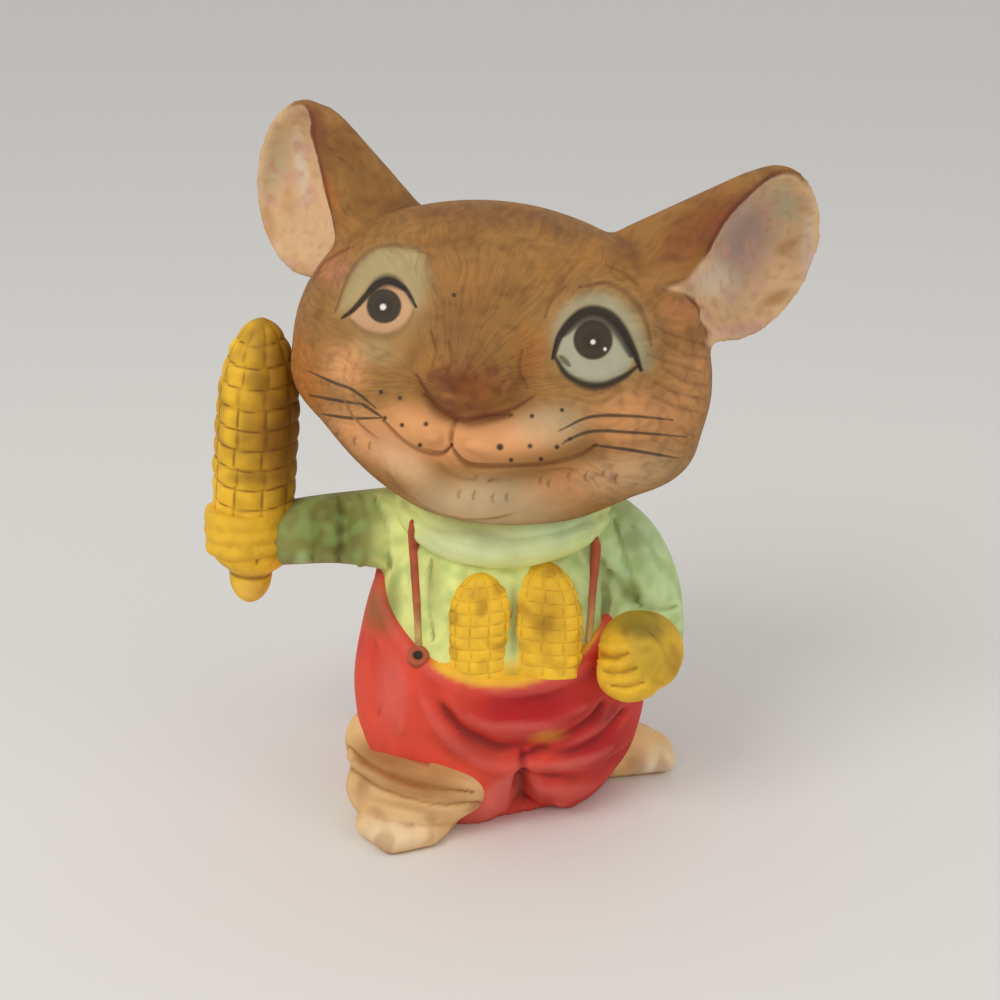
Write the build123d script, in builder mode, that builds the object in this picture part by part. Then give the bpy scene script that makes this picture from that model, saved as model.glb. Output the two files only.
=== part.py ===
"""Bisque porcelain mouse figurine holding an ear of corn, in millimetres.

The figure stands on the table plane at Z = 0 and faces -Y, with its own right side at -X.
It is an assembly of hollow slip castings, solid castings and small applied reliefs, each
luted face to face onto the piece that carries it.
"""

import os
from math import atan2, cos, hypot, radians, sin, sqrt, tan

from build123d import *

# Slip casting
WALL = 3.2  # cast wall of the hollow pieces
FLOOR = 3.6  # closed floor under the trousers
CLOTH = 0.9  # how far the trousers stand proud of the sweater
VENT_RADIUS = 4.5  # drain and vent hole in the floor
VENT_BACK = 8.0  # vent centre, behind the body axis
NECK_BORE_RADIUS = 5.0  # vent between the torso and the head

# Body: half widths and half depths of the sweater's form at five heights. The lower ones are turned
# about Z, with the figure's left foot back, and set back from the body axis
BASE_HALF_WIDTH = 20.5
BASE_HALF_DEPTH = 12.8
BASE_TURN = 24.0
BASE_BACK = 4.0
KNEE_HEIGHT = 10.0
KNEE_HALF_WIDTH = 22.6
KNEE_HALF_DEPTH = 17.8
KNEE_TURN = 15.0
KNEE_BACK = 1.2
HIP_HEIGHT = 24.0
HIP_HALF_WIDTH = 23.2
HIP_HALF_DEPTH = 19.0
HIP_TURN = 5.0
CHEST_HEIGHT = 41.0
CHEST_HALF_WIDTH = 18.6
CHEST_HALF_DEPTH = 16.6
NECK_HEIGHT = 56.0
NECK_HALF_WIDTH = 11.5
NECK_HALF_DEPTH = 10.5
CHEST_CAVITY_TOP = 45.0
OUTLINE_POINTS = 12  # points that each oval section is drawn through

# Waistband: a round dip over the belly that rises towards the back
WAIST_HEIGHT = 35.3  # lowest line of the dip, where it crosses the body axis
WAIST_SLOPE = 20.0
WAIST_DIP_RADIUS = 38.0

# Head, in its own frame: X to the figure's left, Y to the back, Z to the crown
HEAD_RISE = 19.6  # middle of the head above the top of the neck
HEAD_CENTRE = (0.2, -2.0, NECK_HEIGHT + HEAD_RISE)
HEAD_YAW = -10.0
HEAD_PITCH = -15.0
HEAD_ROLL = 10.0
SKULL_HALF_WIDTH = 33.3
SKULL_RADIUS = 26.0
SNOUT_AT = (0.0, -19.0, 0.5)
SNOUT_HALF_LENGTH = 13.0
SNOUT_RADIUS = 9.0
LIP_AT = (7.5, -20.5, -7.5)
LIP_HALF_WIDTH = 12.0
LIP_RADIUS = 7.4
CHIN_AT = (0.0, -14.5, -14.5)
CHIN_HALF_WIDTH = 15.0
CHIN_RADIUS = 9.2
BROW_AT = (15.8, -17.6, 5.0)
BROW_HALF_WIDTH = 8.6
BROW_RADIUS = 7.0
NOSE_AT = (0.0, -28.5, -2.0)
NOSE_HALF_WIDTH = 7.6
NOSE_RADIUS = 5.0

# Ears: a round dish on a root, alike on both sides of the head's middle plane
EAR_AT = (36.8, 3.0, 22.5)  # middle of the dish's mouth in the head's frame
EAR_RADIUS = 14.3
EAR_DEPTH = 6.0
EAR_THICKNESS = 2.8
EAR_TURN = 54.0  # how far each dish faces outwards
EAR_LEAN = 14.0  # how far each dish faces downwards
EAR_ROOT_AT = (25.0, 5.0, 18.0)
EAR_ROOT_HALF_WIDTH = 15.0
EAR_ROOT_RADIUS = 9.0

# Sweater's rolled collar
COLLAR_DROP = 4.8  # middle of the collar below the top of the neck
COLLAR_AT = (0.6, -1.2, NECK_HEIGHT - COLLAR_DROP)
COLLAR_RADIUS = 13.6
COLLAR_ROLL = 4.1
COLLAR_TILT = 6.0

# Arms: points down the middle of each sleeve, with the sleeve's radius there
RIGHT_SLEEVE = ((-10.0, 0.5, 46.6), (-26.0, 1.5, 47.0), (-36.5, 3.0, 45.4))
RIGHT_SLEEVE_RADII = (7.4, 6.0, 5.6)
LEFT_SLEEVE = ((13.0, -0.5, 49.0), (21.0, -3.5, 40.5), (24.0, -9.0, 29.0))
LEFT_SLEEVE_RADII = (6.8, 7.4, 6.4)
RIGHT_PAW_HALF_HEIGHT = 4.8
RIGHT_PAW_RADIUS = 8.3
LEFT_PAW_AT = (21.5, -14.0, 31.0)
LEFT_PAW_HALF_LENGTH = 8.0
LEFT_PAW_RADIUS = 6.8
LEFT_PAW_SEAT = 5.6  # flat top of the fist under the cuff, above the middle of the fist

# Ears of corn
HELD_COB_FOOT = (-41.6, 3.2, 34.0)
HELD_COB_TOP = (-37.4, 3.0, 81.5)
HELD_COB_RADIUS = 6.7
HELD_COB_RINGS = 11
POCKET_COB_RADIUS = 5.1
POCKET_COB_LENGTH = 21.5
POCKET_COB_RINGS = 6
POCKET_COB_FOOT_HEIGHT = 28.0
POCKET_COB_X = (-2.9, 7.6)
POCKET_COB_SINK = 1.2  # how far each cob's axis lies inside the chest
HELD_STALK_LENGTH = 6.0
HELD_STALK_RADIUS = 4.4
COB_TIP_LENGTH = 4.5
COB_TIP_RADIUS_LOSS = 1.6  # how much slimmer a cob is under its tip
KERNEL_RELIEF = 0.6  # how far a kernel ring stands out of its grooves

# Braces and the button
BRACE_WIDTH = 2.1
BRACE_THICKNESS = 0.8
BRACE_X = (-13.4, 14.2)
BUTTON_RADIUS = 1.6
BUTTON_THICKNESS = 1.2
BUTTON_DROP = 2.4  # button's middle below the waistband's edge

# Feet
INSTEP_AT = (-12.0, -8.0, 8.0)
INSTEP_HALF_HEIGHT = 8.6
INSTEP_RADIUS = 13.8
RIGHT_TOE_AT = (-16.5, -15.6, 3.0)
RIGHT_TOE_HALF_HEIGHT = 6.0
RIGHT_TOE_RADIUS = 8.2
LEFT_TOE_AT = (20.0, 2.5, 4.0)
LEFT_TOE_HALF_LENGTH = 10.0
LEFT_TOE_RADIUS = 7.5

# Tail: laid round the back of the trousers, from its root to its tip
TAIL_ROOT_RADIUS = 2.8
TAIL_TIP_RADIUS = 1.3
TAIL_ROOT_HEIGHT = 10.0
TAIL_ROOT_ANGLE = 105.0
TAIL_TIP_ANGLE = 40.0
TAIL_STATIONS = 6

# Turns that lay a lump's axis along X or along Y
ALONG_X = (0, 90, 90)
ALONG_Y = (90, 0, 0)


def clay_ball(half_length, radius, place):
    """A lump of clay, round about the Z of its place: an oval of a belly arc and two end arcs."""
    end_radius = radius**2 / half_length
    end_height = half_length - end_radius
    slack = radius - end_radius
    belly_middle = (slack**2 - end_height**2) / (2 * slack)
    lean = atan2(abs(belly_middle), abs(end_height))
    meet = (end_radius * sin(lean), end_height + end_radius * cos(lean))
    end_middle = (end_radius * sin(lean / 2), end_height + end_radius * cos(lean / 2))
    with BuildPart() as ball:
        with BuildSketch(Plane.XZ):
            with BuildLine():
                ThreePointArc((0, -half_length), (end_middle[0], -end_middle[1]), (meet[0], -meet[1]))
                ThreePointArc((meet[0], -meet[1]), (radius, 0), meet)
                ThreePointArc(meet, end_middle, (0, half_length))
                Line((0, half_length), (0, -half_length))
            make_face()
        revolve(axis=Axis.Z)
    return ball.part.moved(place)


def body_reach(half_width, half_depth, turn, angle):
    """How far a turned ellipse reaches from its middle at an angle about Z."""
    local = radians(angle - turn)
    return 1 / hypot(cos(local) / half_width, sin(local) / half_depth)


def body_form(growth):
    """The filled body through its five stations, grown outwards by an amount."""
    stations = (
        ((0.0, BASE_BACK, 0.0), BASE_HALF_WIDTH, BASE_HALF_DEPTH, BASE_TURN),
        ((0.0, KNEE_BACK, KNEE_HEIGHT), KNEE_HALF_WIDTH, KNEE_HALF_DEPTH, KNEE_TURN),
        ((0.0, 0.0, HIP_HEIGHT), HIP_HALF_WIDTH, HIP_HALF_DEPTH, HIP_TURN),
        ((0.0, 0.0, CHEST_HEIGHT), CHEST_HALF_WIDTH, CHEST_HALF_DEPTH, 0.0),
        ((0.0, 0.0, NECK_HEIGHT), NECK_HALF_WIDTH, NECK_HALF_DEPTH, 0.0),
    )
    with BuildPart() as form:
        for middle, half_width, half_depth, turn in stations:
            outline = []
            for step in range(OUTLINE_POINTS):
                angle = 360 * step / OUTLINE_POINTS
                reach = body_reach(half_width + growth, half_depth + growth, turn, angle)
                outline.append((reach * cos(radians(angle)), reach * sin(radians(angle))))
            with BuildSketch(Plane(origin=middle)):
                with BuildLine():
                    Spline(*outline, periodic=True)
                make_face()
        loft()
    return form.part


def round_run(points, radii):
    """A limb through round sections at the given points, each square to the run."""
    with BuildPart() as limb:
        for index, (point, radius) in enumerate(zip(points, radii)):
            before = Vector(*points[max(index - 1, 0)])
            run = Vector(*points[min(index + 1, len(points) - 1)]) - before
            with BuildSketch(Plane(origin=point, x_dir=run.cross(Vector(0, 0, 1)), z_dir=run)):
                Circle(radius)
        loft()
    return limb.part


def round_dish(reach, depth, rise):
    """The cap of a ball under a mouth at Z = 0, with a straight plug of some rise above it."""
    ball_radius = (reach**2 + depth**2) / (2 * depth)
    middle = ball_radius - depth
    half_angle = atan2(reach, middle) / 2
    flank = (ball_radius * sin(half_angle), middle - ball_radius * cos(half_angle))
    with BuildPart() as dish:
        with BuildSketch(Plane.XZ):
            with BuildLine():
                ThreePointArc((0, -depth), flank, (reach, 0))
                if rise:
                    Polyline((reach, 0), (reach, rise), (0, rise), (0, -depth))
                else:
                    Polyline((reach, 0), (0, 0), (0, -depth))
            make_face()
        revolve(axis=Axis.Z)
    return dish.part


def cob_form(length, radius, rings, stalk_length=0.0, stalk_radius=0.0):
    """An ear of corn standing on Z: any stalk, then rings of kernels up to a rounded tip."""
    tip_foot = length - COB_TIP_LENGTH
    pitch = (tip_foot - stalk_length) / rings
    groove_radius = radius - KERNEL_RELIEF
    with BuildPart() as cob:
        with BuildSketch(Plane.XZ):
            with BuildLine():
                if stalk_length:
                    stalk_top = (stalk_radius, stalk_length)
                    Polyline((0, 0), (stalk_radius, 0), stalk_top, (groove_radius, stalk_length))
                else:
                    Line((0, 0), (groove_radius, 0))
                groove = (groove_radius, stalk_length)
                for ring in range(1, rings + 1):
                    reach = groove_radius - COB_TIP_RADIUS_LOSS * (ring / rings) ** 3
                    upper = (reach, stalk_length + ring * pitch)
                    crown = (groove[0] + reach) / 2 + KERNEL_RELIEF
                    ThreePointArc(groove, (crown, upper[1] - pitch / 2), upper)
                    groove = upper
                shoulder = (groove[0] * sqrt(0.5), tip_foot + COB_TIP_LENGTH * sqrt(0.5))
                ThreePointArc(groove, shoulder, (0, length))
                Line((0, length), (0, 0))
            make_face()
        revolve(axis=Axis.Z)
    return cob.part


def waist_height(x, y):
    """Height of the waistband's edge above a point of the table plane."""
    dip = WAIST_DIP_RADIUS - sqrt(WAIST_DIP_RADIUS**2 - x**2)
    return WAIST_HEIGHT + y * tan(radians(WAIST_SLOPE)) + dip / cos(radians(WAIST_SLOPE))


def front_of(form, x, height):
    """Where a line along +Y first meets a form, with the outward direction there."""
    line = Axis(origin=(x, -HEAD_CENTRE[2], height), direction=(0, 1, 0))
    return form.find_intersection_points(line)[0]


def on_head(place, side=1, turn=(0, 0, 0)):
    """A location in the head's own frame, on its left or its right, turned where it stands."""
    return head_plane.location * Location((side * place[0], *place[1:]), turn)


def export(piece, name):
    """Label a finished piece and write its STEP file."""
    piece.label = name
    export_step(piece, f"parts/{name}.step")
    print(name, round(piece.volume), len(piece.solids()), piece.is_valid)


os.makedirs("parts", exist_ok=True)

# Filled forms that the pieces are cut from and cut against
sweater_form = body_form(0.0)
trouser_form = body_form(CLOTH)
head_plane = Plane(origin=HEAD_CENTRE).rotated((0, 0, HEAD_YAW))
head_plane = head_plane.rotated((HEAD_PITCH, 0, 0)).rotated((0, HEAD_ROLL, 0))

# The round cutter that parts the sweater from the trousers along the waistband
waist_axis = Vector(0, cos(radians(WAIST_SLOPE)), sin(radians(WAIST_SLOPE)))
waist_up = Vector(0, -waist_axis.Z, waist_axis.Y)
waist_middle = Vector(0, 0, WAIST_HEIGHT) + waist_up * WAIST_DIP_RADIUS
with BuildPart() as above_waist:
    with BuildSketch(Plane(origin=waist_middle, z_dir=waist_axis)):
        Circle(WAIST_DIP_RADIUS)
    extrude(amount=2 * HIP_HALF_WIDTH, both=True)

with BuildPart() as trouser_block:
    add(trouser_form)
    add(above_waist.part, mode=Mode.SUBTRACT)

# The filled head, from the skull and the lumps of the face
skull_place = on_head((0, 0, 0), turn=ALONG_X)
skull = clay_ball(SKULL_HALF_WIDTH, SKULL_RADIUS, skull_place)
face_lumps = [clay_ball(CHIN_HALF_WIDTH, CHIN_RADIUS, on_head(CHIN_AT, turn=ALONG_X))]
for side in (-1, 1):
    face_lumps.append(clay_ball(LIP_HALF_WIDTH, LIP_RADIUS, on_head(LIP_AT, side, ALONG_X)))
    face_lumps.append(clay_ball(BROW_HALF_WIDTH, BROW_RADIUS, on_head(BROW_AT, side, ALONG_X)))
face_lumps.append(clay_ball(SNOUT_HALF_LENGTH, SNOUT_RADIUS, on_head(SNOUT_AT, turn=ALONG_Y)))
with BuildPart() as head_form:
    add(skull)
    for lump in face_lumps:
        add(lump)

with BuildPart() as neck_bore:
    with Locations((0, 0, NECK_HEIGHT)):
        Cylinder(NECK_BORE_RADIUS, 2 * (NECK_HEIGHT - CHEST_CAVITY_TOP) + WALL)

# Trousers: a hollow casting, open at the waist, with a vented floor
trouser_core = body_form(CLOTH - WALL)
with BuildPart() as trouser_cavity:
    add(trouser_core)
    split(bisect_by=Plane.XY.offset(FLOOR), keep=Keep.TOP)

with BuildPart() as trousers_casting:
    add(trouser_block.part)
    add(trouser_cavity.part, mode=Mode.SUBTRACT)
    with Locations((0, VENT_BACK, FLOOR / 2)):
        Cylinder(VENT_RADIUS, 2 * FLOOR, mode=Mode.SUBTRACT)

# Sweater: a hollow casting that stands on the trousers' rim and carries the head
sweater_core = body_form(-WALL)
with BuildPart() as chest_cavity:
    add(sweater_core)
    split(bisect_by=Plane.XY.offset(CHEST_CAVITY_TOP), keep=Keep.BOTTOM)

with BuildPart() as sweater_casting:
    add(sweater_form)
    add(above_waist.part, mode=Mode.INTERSECT)
    add(chest_cavity.part, mode=Mode.SUBTRACT)
    add(neck_bore.part, mode=Mode.SUBTRACT)
    add(head_form.part, mode=Mode.SUBTRACT)

# Head: a hollow casting, vented through the neck
skull_cavity = clay_ball(SKULL_HALF_WIDTH - WALL, SKULL_RADIUS - WALL, skull_place)
with BuildPart() as head_casting:
    add(head_form.part)
    add(skull_cavity, mode=Mode.SUBTRACT)
    add(neck_bore.part, mode=Mode.SUBTRACT)

# Nose: a small relief on the tip of the snout
nose_lump = clay_ball(NOSE_HALF_WIDTH, NOSE_RADIUS, on_head(NOSE_AT, turn=ALONG_X))
with BuildPart() as nose:
    add(nose_lump)
    add(head_form.part, mode=Mode.SUBTRACT)

# Ears: a dish revolved about its own axis, on a root that runs into the head
ear_shell = round_dish(EAR_RADIUS, EAR_DEPTH + EAR_THICKNESS, 0.0)
ear_hollow = round_dish(EAR_RADIUS - EAR_THICKNESS, EAR_DEPTH, EAR_RADIUS)
ear_pieces = {}
for side, name in ((-1, "right_ear"), (1, "left_ear")):
    outwards = side * sin(radians(EAR_TURN))
    forwards = -cos(radians(EAR_TURN))
    downwards = -sin(radians(EAR_LEAN))
    mouth = Plane(origin=(side * EAR_AT[0], *EAR_AT[1:]), z_dir=(outwards, forwards, downwards))
    dish_place = head_plane.location * mouth.location
    root = clay_ball(EAR_ROOT_HALF_WIDTH, EAR_ROOT_RADIUS, on_head(EAR_ROOT_AT, side, ALONG_X))
    with BuildPart() as ear:
        add(ear_shell.moved(dish_place))
        add(root)
        add(ear_hollow.moved(dish_place), mode=Mode.SUBTRACT)
        add(head_form.part, mode=Mode.SUBTRACT)
    ear_pieces[name] = ear.part

# Collar: a thick roll between the shoulders and the chin
collar_plane = Plane(origin=COLLAR_AT).rotated((COLLAR_TILT, 0, 0))
with BuildPart() as collar_ring:
    with Locations(collar_plane):
        Torus(COLLAR_RADIUS, COLLAR_ROLL)

with BuildPart() as collar_roll:
    add(collar_ring.part)
    add(sweater_form, mode=Mode.SUBTRACT)
    add(head_form.part, mode=Mode.SUBTRACT)

# Braces: flat strips over the sweater, from under the collar to the waistband
braces = []
brace_skin = body_form(BRACE_THICKNESS)
for x in BRACE_X:
    with BuildPart() as brace:
        add(brace_skin)
        with BuildSketch(Plane.XZ):
            with Locations((x, NECK_HEIGHT / 2)):
                Rectangle(BRACE_WIDTH, NECK_HEIGHT)
        extrude(amount=2 * HIP_HALF_DEPTH, mode=Mode.INTERSECT)
        add(sweater_form, mode=Mode.SUBTRACT)
        add(trouser_block.part, mode=Mode.SUBTRACT)
        add(collar_ring.part, mode=Mode.SUBTRACT)
        add(head_form.part, mode=Mode.SUBTRACT)
    braces.append(brace.part)

# Held ear of corn, standing in the fist and leaning on the cheek
cob_run = Vector(*HELD_COB_TOP) - Vector(*HELD_COB_FOOT)
cob_plane = Plane(origin=HELD_COB_FOOT, z_dir=cob_run)
held_cob_form = cob_form(
    cob_run.length, HELD_COB_RADIUS, HELD_COB_RINGS, HELD_STALK_LENGTH, HELD_STALK_RADIUS
).moved(cob_plane.location)
with BuildPart() as held_cob:
    add(held_cob_form)
    add(head_form.part, mode=Mode.SUBTRACT)

# Right arm: a fist closed round the cob, and the sleeve that ends on it
fist_place = cob_plane.offset(HELD_STALK_LENGTH + RIGHT_PAW_HALF_HEIGHT).location
right_fist = clay_ball(RIGHT_PAW_HALF_HEIGHT, RIGHT_PAW_RADIUS, fist_place)
with BuildPart() as right_paw:
    add(right_fist)
    add(held_cob_form, mode=Mode.SUBTRACT)

right_arm = round_run(RIGHT_SLEEVE, RIGHT_SLEEVE_RADII)
with BuildPart() as right_sleeve:
    add(right_arm)
    add(sweater_form, mode=Mode.SUBTRACT)
    add(collar_ring.part, mode=Mode.SUBTRACT)
    add(trouser_block.part, mode=Mode.SUBTRACT)
    add(head_form.part, mode=Mode.SUBTRACT)
    add(right_fist, mode=Mode.SUBTRACT)
    add(held_cob_form, mode=Mode.SUBTRACT)
    add(braces, mode=Mode.SUBTRACT)

# Left arm: the sleeve hangs down to a fist on the hip
left_fist_ball = clay_ball(LEFT_PAW_HALF_LENGTH, LEFT_PAW_RADIUS, Location(LEFT_PAW_AT, ALONG_Y))
with BuildPart() as left_fist:
    add(left_fist_ball)
    split(bisect_by=Plane.XY.offset(LEFT_PAW_AT[2] + LEFT_PAW_SEAT), keep=Keep.BOTTOM)

with BuildPart() as left_paw:
    add(left_fist.part)
    add(trouser_form, mode=Mode.SUBTRACT)

left_arm = round_run(LEFT_SLEEVE, LEFT_SLEEVE_RADII)
with BuildPart() as left_sleeve:
    add(left_arm)
    add(sweater_form, mode=Mode.SUBTRACT)
    add(trouser_block.part, mode=Mode.SUBTRACT)
    add(collar_ring.part, mode=Mode.SUBTRACT)
    add(head_form.part, mode=Mode.SUBTRACT)
    add(left_fist.part, mode=Mode.SUBTRACT)
    add(braces, mode=Mode.SUBTRACT)

# Two ears of corn behind the waistband, half sunk into the chest
pocket_cobs = []
cob = cob_form(POCKET_COB_LENGTH, POCKET_COB_RADIUS, POCKET_COB_RINGS)
for x in POCKET_COB_X:
    foot = front_of(sweater_form, x, POCKET_COB_FOOT_HEIGHT)[0]
    top = front_of(sweater_form, x, (CHEST_HEIGHT + NECK_HEIGHT) / 2)[0]
    stand = Plane(origin=foot + Vector(0, POCKET_COB_SINK, 0), z_dir=top - foot)
    with BuildPart() as pocket_cob:
        add(cob.moved(stand.location))
        add(sweater_form, mode=Mode.SUBTRACT)
        add(trouser_block.part, mode=Mode.SUBTRACT)
        add(collar_ring.part, mode=Mode.SUBTRACT)
        for neighbour in pocket_cobs:
            add(neighbour, mode=Mode.SUBTRACT)
    pocket_cobs.append(pocket_cob.part)

# Button: pressed onto the front of the trousers under the right brace
button_x = BRACE_X[0]
edge = front_of(trouser_form, button_x, waist_height(button_x, -CHEST_HALF_DEPTH))[0]
seat, outward = front_of(trouser_form, button_x, waist_height(button_x, edge.Y) - BUTTON_DROP)
with BuildPart() as brace_button:
    with BuildSketch(Plane(origin=seat, z_dir=outward)):
        Circle(BUTTON_RADIUS)
    extrude(amount=BUTTON_THICKNESS, both=True)
    add(trouser_form, mode=Mode.SUBTRACT)

# Feet: solid lumps against the trousers, flat on the table
instep = clay_ball(INSTEP_HALF_HEIGHT, INSTEP_RADIUS, Location(INSTEP_AT))
right_toe = clay_ball(RIGHT_TOE_HALF_HEIGHT, RIGHT_TOE_RADIUS, Location(RIGHT_TOE_AT))
with BuildPart() as right_foot:
    add(instep)
    add(right_toe)
    split(bisect_by=Plane.XY, keep=Keep.TOP)
    add(trouser_form, mode=Mode.SUBTRACT)

left_toe = clay_ball(LEFT_TOE_HALF_LENGTH, LEFT_TOE_RADIUS, Location(LEFT_TOE_AT, ALONG_X))
with BuildPart() as left_foot:
    add(left_toe)
    split(bisect_by=Plane.XY, keep=Keep.TOP)
    add(trouser_form, mode=Mode.SUBTRACT)

# Tail: a tapering run laid round the back of the trousers and down to the table
tail_points = []
tail_radii = []
for station in range(TAIL_STATIONS):
    share = station / (TAIL_STATIONS - 1)
    angle = TAIL_ROOT_ANGLE + share * (TAIL_TIP_ANGLE - TAIL_ROOT_ANGLE)
    radius = TAIL_ROOT_RADIUS + share * (TAIL_TIP_RADIUS - TAIL_ROOT_RADIUS)
    reach = body_reach(KNEE_HALF_WIDTH, KNEE_HALF_DEPTH, KNEE_TURN, angle) + CLOTH + radius / 2
    height = radius + (TAIL_ROOT_HEIGHT - radius) * (1 - share) ** 2
    across = reach * cos(radians(angle))
    tail_points.append((across, KNEE_BACK + reach * sin(radians(angle)), height))
    tail_radii.append(radius)
tail_run = round_run(tail_points, tail_radii)
with BuildPart() as tail:
    add(tail_run)
    with Locations(tail_points[-1]):
        Sphere(TAIL_TIP_RADIUS)
    add(trouser_form, mode=Mode.SUBTRACT)
    split(bisect_by=Plane.XY, keep=Keep.TOP)

export(trousers_casting.part, "trousers_casting")
export(sweater_casting.part, "sweater_casting")
export(head_casting.part, "head_casting")
export(nose.part, "nose")
export(ear_pieces["right_ear"], "right_ear")
export(ear_pieces["left_ear"], "left_ear")
export(collar_roll.part, "collar_roll")
export(held_cob.part, "held_cob")
export(right_paw.part, "right_paw")
export(right_sleeve.part, "right_sleeve")
export(left_paw.part, "left_paw")
export(left_sleeve.part, "left_sleeve")
export(pocket_cobs[0], "right_pocket_cob")
export(pocket_cobs[1], "left_pocket_cob")
export(braces[0], "right_brace")
export(braces[1], "left_brace")
export(brace_button.part, "brace_button")
export(right_foot.part, "right_foot")
export(left_foot.part, "left_foot")
export(tail.part, "tail")
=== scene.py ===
import math

import bmesh
import bpy
import numpy as np
from bpy.props import FloatProperty, FloatVectorProperty, IntProperty, PointerProperty
from bpy.types import Operator, Panel, PropertyGroup
from mathutils import Euler, Matrix, Vector, noise
from mathutils.bvhtree import BVHTree


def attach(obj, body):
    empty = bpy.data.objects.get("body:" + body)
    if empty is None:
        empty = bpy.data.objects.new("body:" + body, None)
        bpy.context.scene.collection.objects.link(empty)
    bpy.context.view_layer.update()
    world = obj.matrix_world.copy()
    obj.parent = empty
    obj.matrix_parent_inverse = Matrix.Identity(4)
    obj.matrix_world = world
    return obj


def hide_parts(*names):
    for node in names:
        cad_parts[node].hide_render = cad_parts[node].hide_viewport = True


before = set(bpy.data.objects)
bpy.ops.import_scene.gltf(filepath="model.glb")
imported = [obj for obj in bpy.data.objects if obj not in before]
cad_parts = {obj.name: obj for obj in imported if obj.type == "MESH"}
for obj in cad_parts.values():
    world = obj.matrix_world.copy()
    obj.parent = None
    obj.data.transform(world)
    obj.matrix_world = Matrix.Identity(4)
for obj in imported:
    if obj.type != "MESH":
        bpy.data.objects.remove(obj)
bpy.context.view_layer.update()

bl_info = {
    "name": "Bisque Mouse Figurine",
    "version": (1, 0, 0),
    "blender": (4, 5, 0),
    "location": "View3D > Sidebar > Mouse",
    "description": "Models and paints a slip-cast porcelain mouse that holds an ear of corn",
    "category": "Add Mesh",
}

MM = 0.001  # the clay is worked in millimetres and written in metres
BODY = "root"

# The photograph's frame: its side in pixels, and the camera's sensor in millimetres
FRAME_SIDE = 1000.0
SENSOR_WIDTH = 36.0


def linear(code):
    """Linear red, green and blue of an sRGB hex colour."""
    parts = [int(code[i : i + 2], 16) / 255 for i in (1, 3, 5)]
    return tuple(p / 12.92 if p <= 0.04045 else ((p + 0.055) / 1.055) ** 2.4 for p in parts)


def size(name, default, description):
    """A length in millimetres."""
    return FloatProperty(name=f"{name} (mm)", description=description, default=default)


def place(name, default, description):
    """A place in millimetres."""
    return FloatVectorProperty(name=f"{name} (mm)", description=description, default=default)


def angle(name, default, description):
    """An angle, given in degrees."""
    turn = math.radians(default)
    return FloatProperty(name=name, description=description, default=turn, subtype="ANGLE")


def colour(name, code, description):
    """A paint colour, given as an sRGB hex code."""
    return FloatVectorProperty(name=name, description=description, default=linear(code), subtype="COLOR")


class MouseHead(PropertyGroup):
    """Sizes of the head, its ears and its nose."""

    centre: place("Centre", (0.2, -2.0, 75.6), "Middle of the skull")
    yaw: angle("Yaw", -10, "Turn of the head about the upright axis")
    pitch: angle("Pitch", -15, "How far the face looks up")
    roll: angle("Roll", 10, "Tilt of the head to its side")
    skull_half_width: size("Skull half width", 33.3, "Half the breadth of the skull")
    skull_radius: size("Skull radius", 26.0, "Half the height and depth of the skull")
    right_ear_at: place("Right ear", (-37.3, 3.6, 19.5), "Right ear's mouth, from the skull's middle")
    left_ear_at: place("Left ear", (34.6, 0.3, 24.0), "Left ear's mouth, from the skull's middle")
    right_lobe_at: place("Right lobe", (-25.4, -6.6, 7.2), "Lump under the right ear")
    left_lobe_at: place("Left lobe", (25.2, -7.6, 12.8), "Lump under the left ear")
    ear_radius: size("Ear radius", 14.3, "Radius of an ear's mouth")
    ear_depth: size("Ear depth", 6.0, "Depth of the hollow in an ear")
    ear_thickness: size("Ear thickness", 2.6, "Wall of an ear")
    right_ear_curl: size("Right ear curl", 6.4, "How far the right ear's edge rolls over its mouth")
    left_ear_curl: size("Left ear curl", 1.8, "How far the left ear's edge rolls over its mouth")
    right_ear_turn: angle("Right ear turn", 38, "How far the right ear faces outwards")
    left_ear_turn: angle("Left ear turn", 54, "How far the left ear faces outwards")
    ear_lean: angle("Ear lean", 14, "How far each ear faces downwards")


class MouseBody(PropertyGroup):
    """Sizes of the sweater, the trousers and the braces."""

    cloth: size("Cloth", 0.9, "How far the trousers stand proud of the sweater")
    waist_height: size("Waist height", 35.3, "Lowest line of the waistband's dip")
    waist_slope: angle("Waist slope", 20, "Rise of the waistband to the back")
    waist_dip: size("Waist dip radius", 38.0, "Radius of the waistband's dip")
    collar_at: place("Collar", (0.6, -1.2, 52.0), "Middle of the rolled collar")
    collar_radius: size("Collar radius", 13.6, "Radius of the collar at the middle of its roll")
    collar_roll: size("Collar roll", 3.6, "Half the thickness of the collar's roll")
    brace_width: size("Brace width", 1.9, "Width of a brace")
    button_radius: size("Button radius", 1.7, "Radius of the brace button")
    vent_radius: size("Vent radius", 4.5, "Radius of the vent in the floor of the trousers")
    vent_depth: size("Vent depth", 5.0, "How far up the vent is open")
    vent_back: size("Vent back", 8.0, "Distance of the vent behind the figure's middle")


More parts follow.
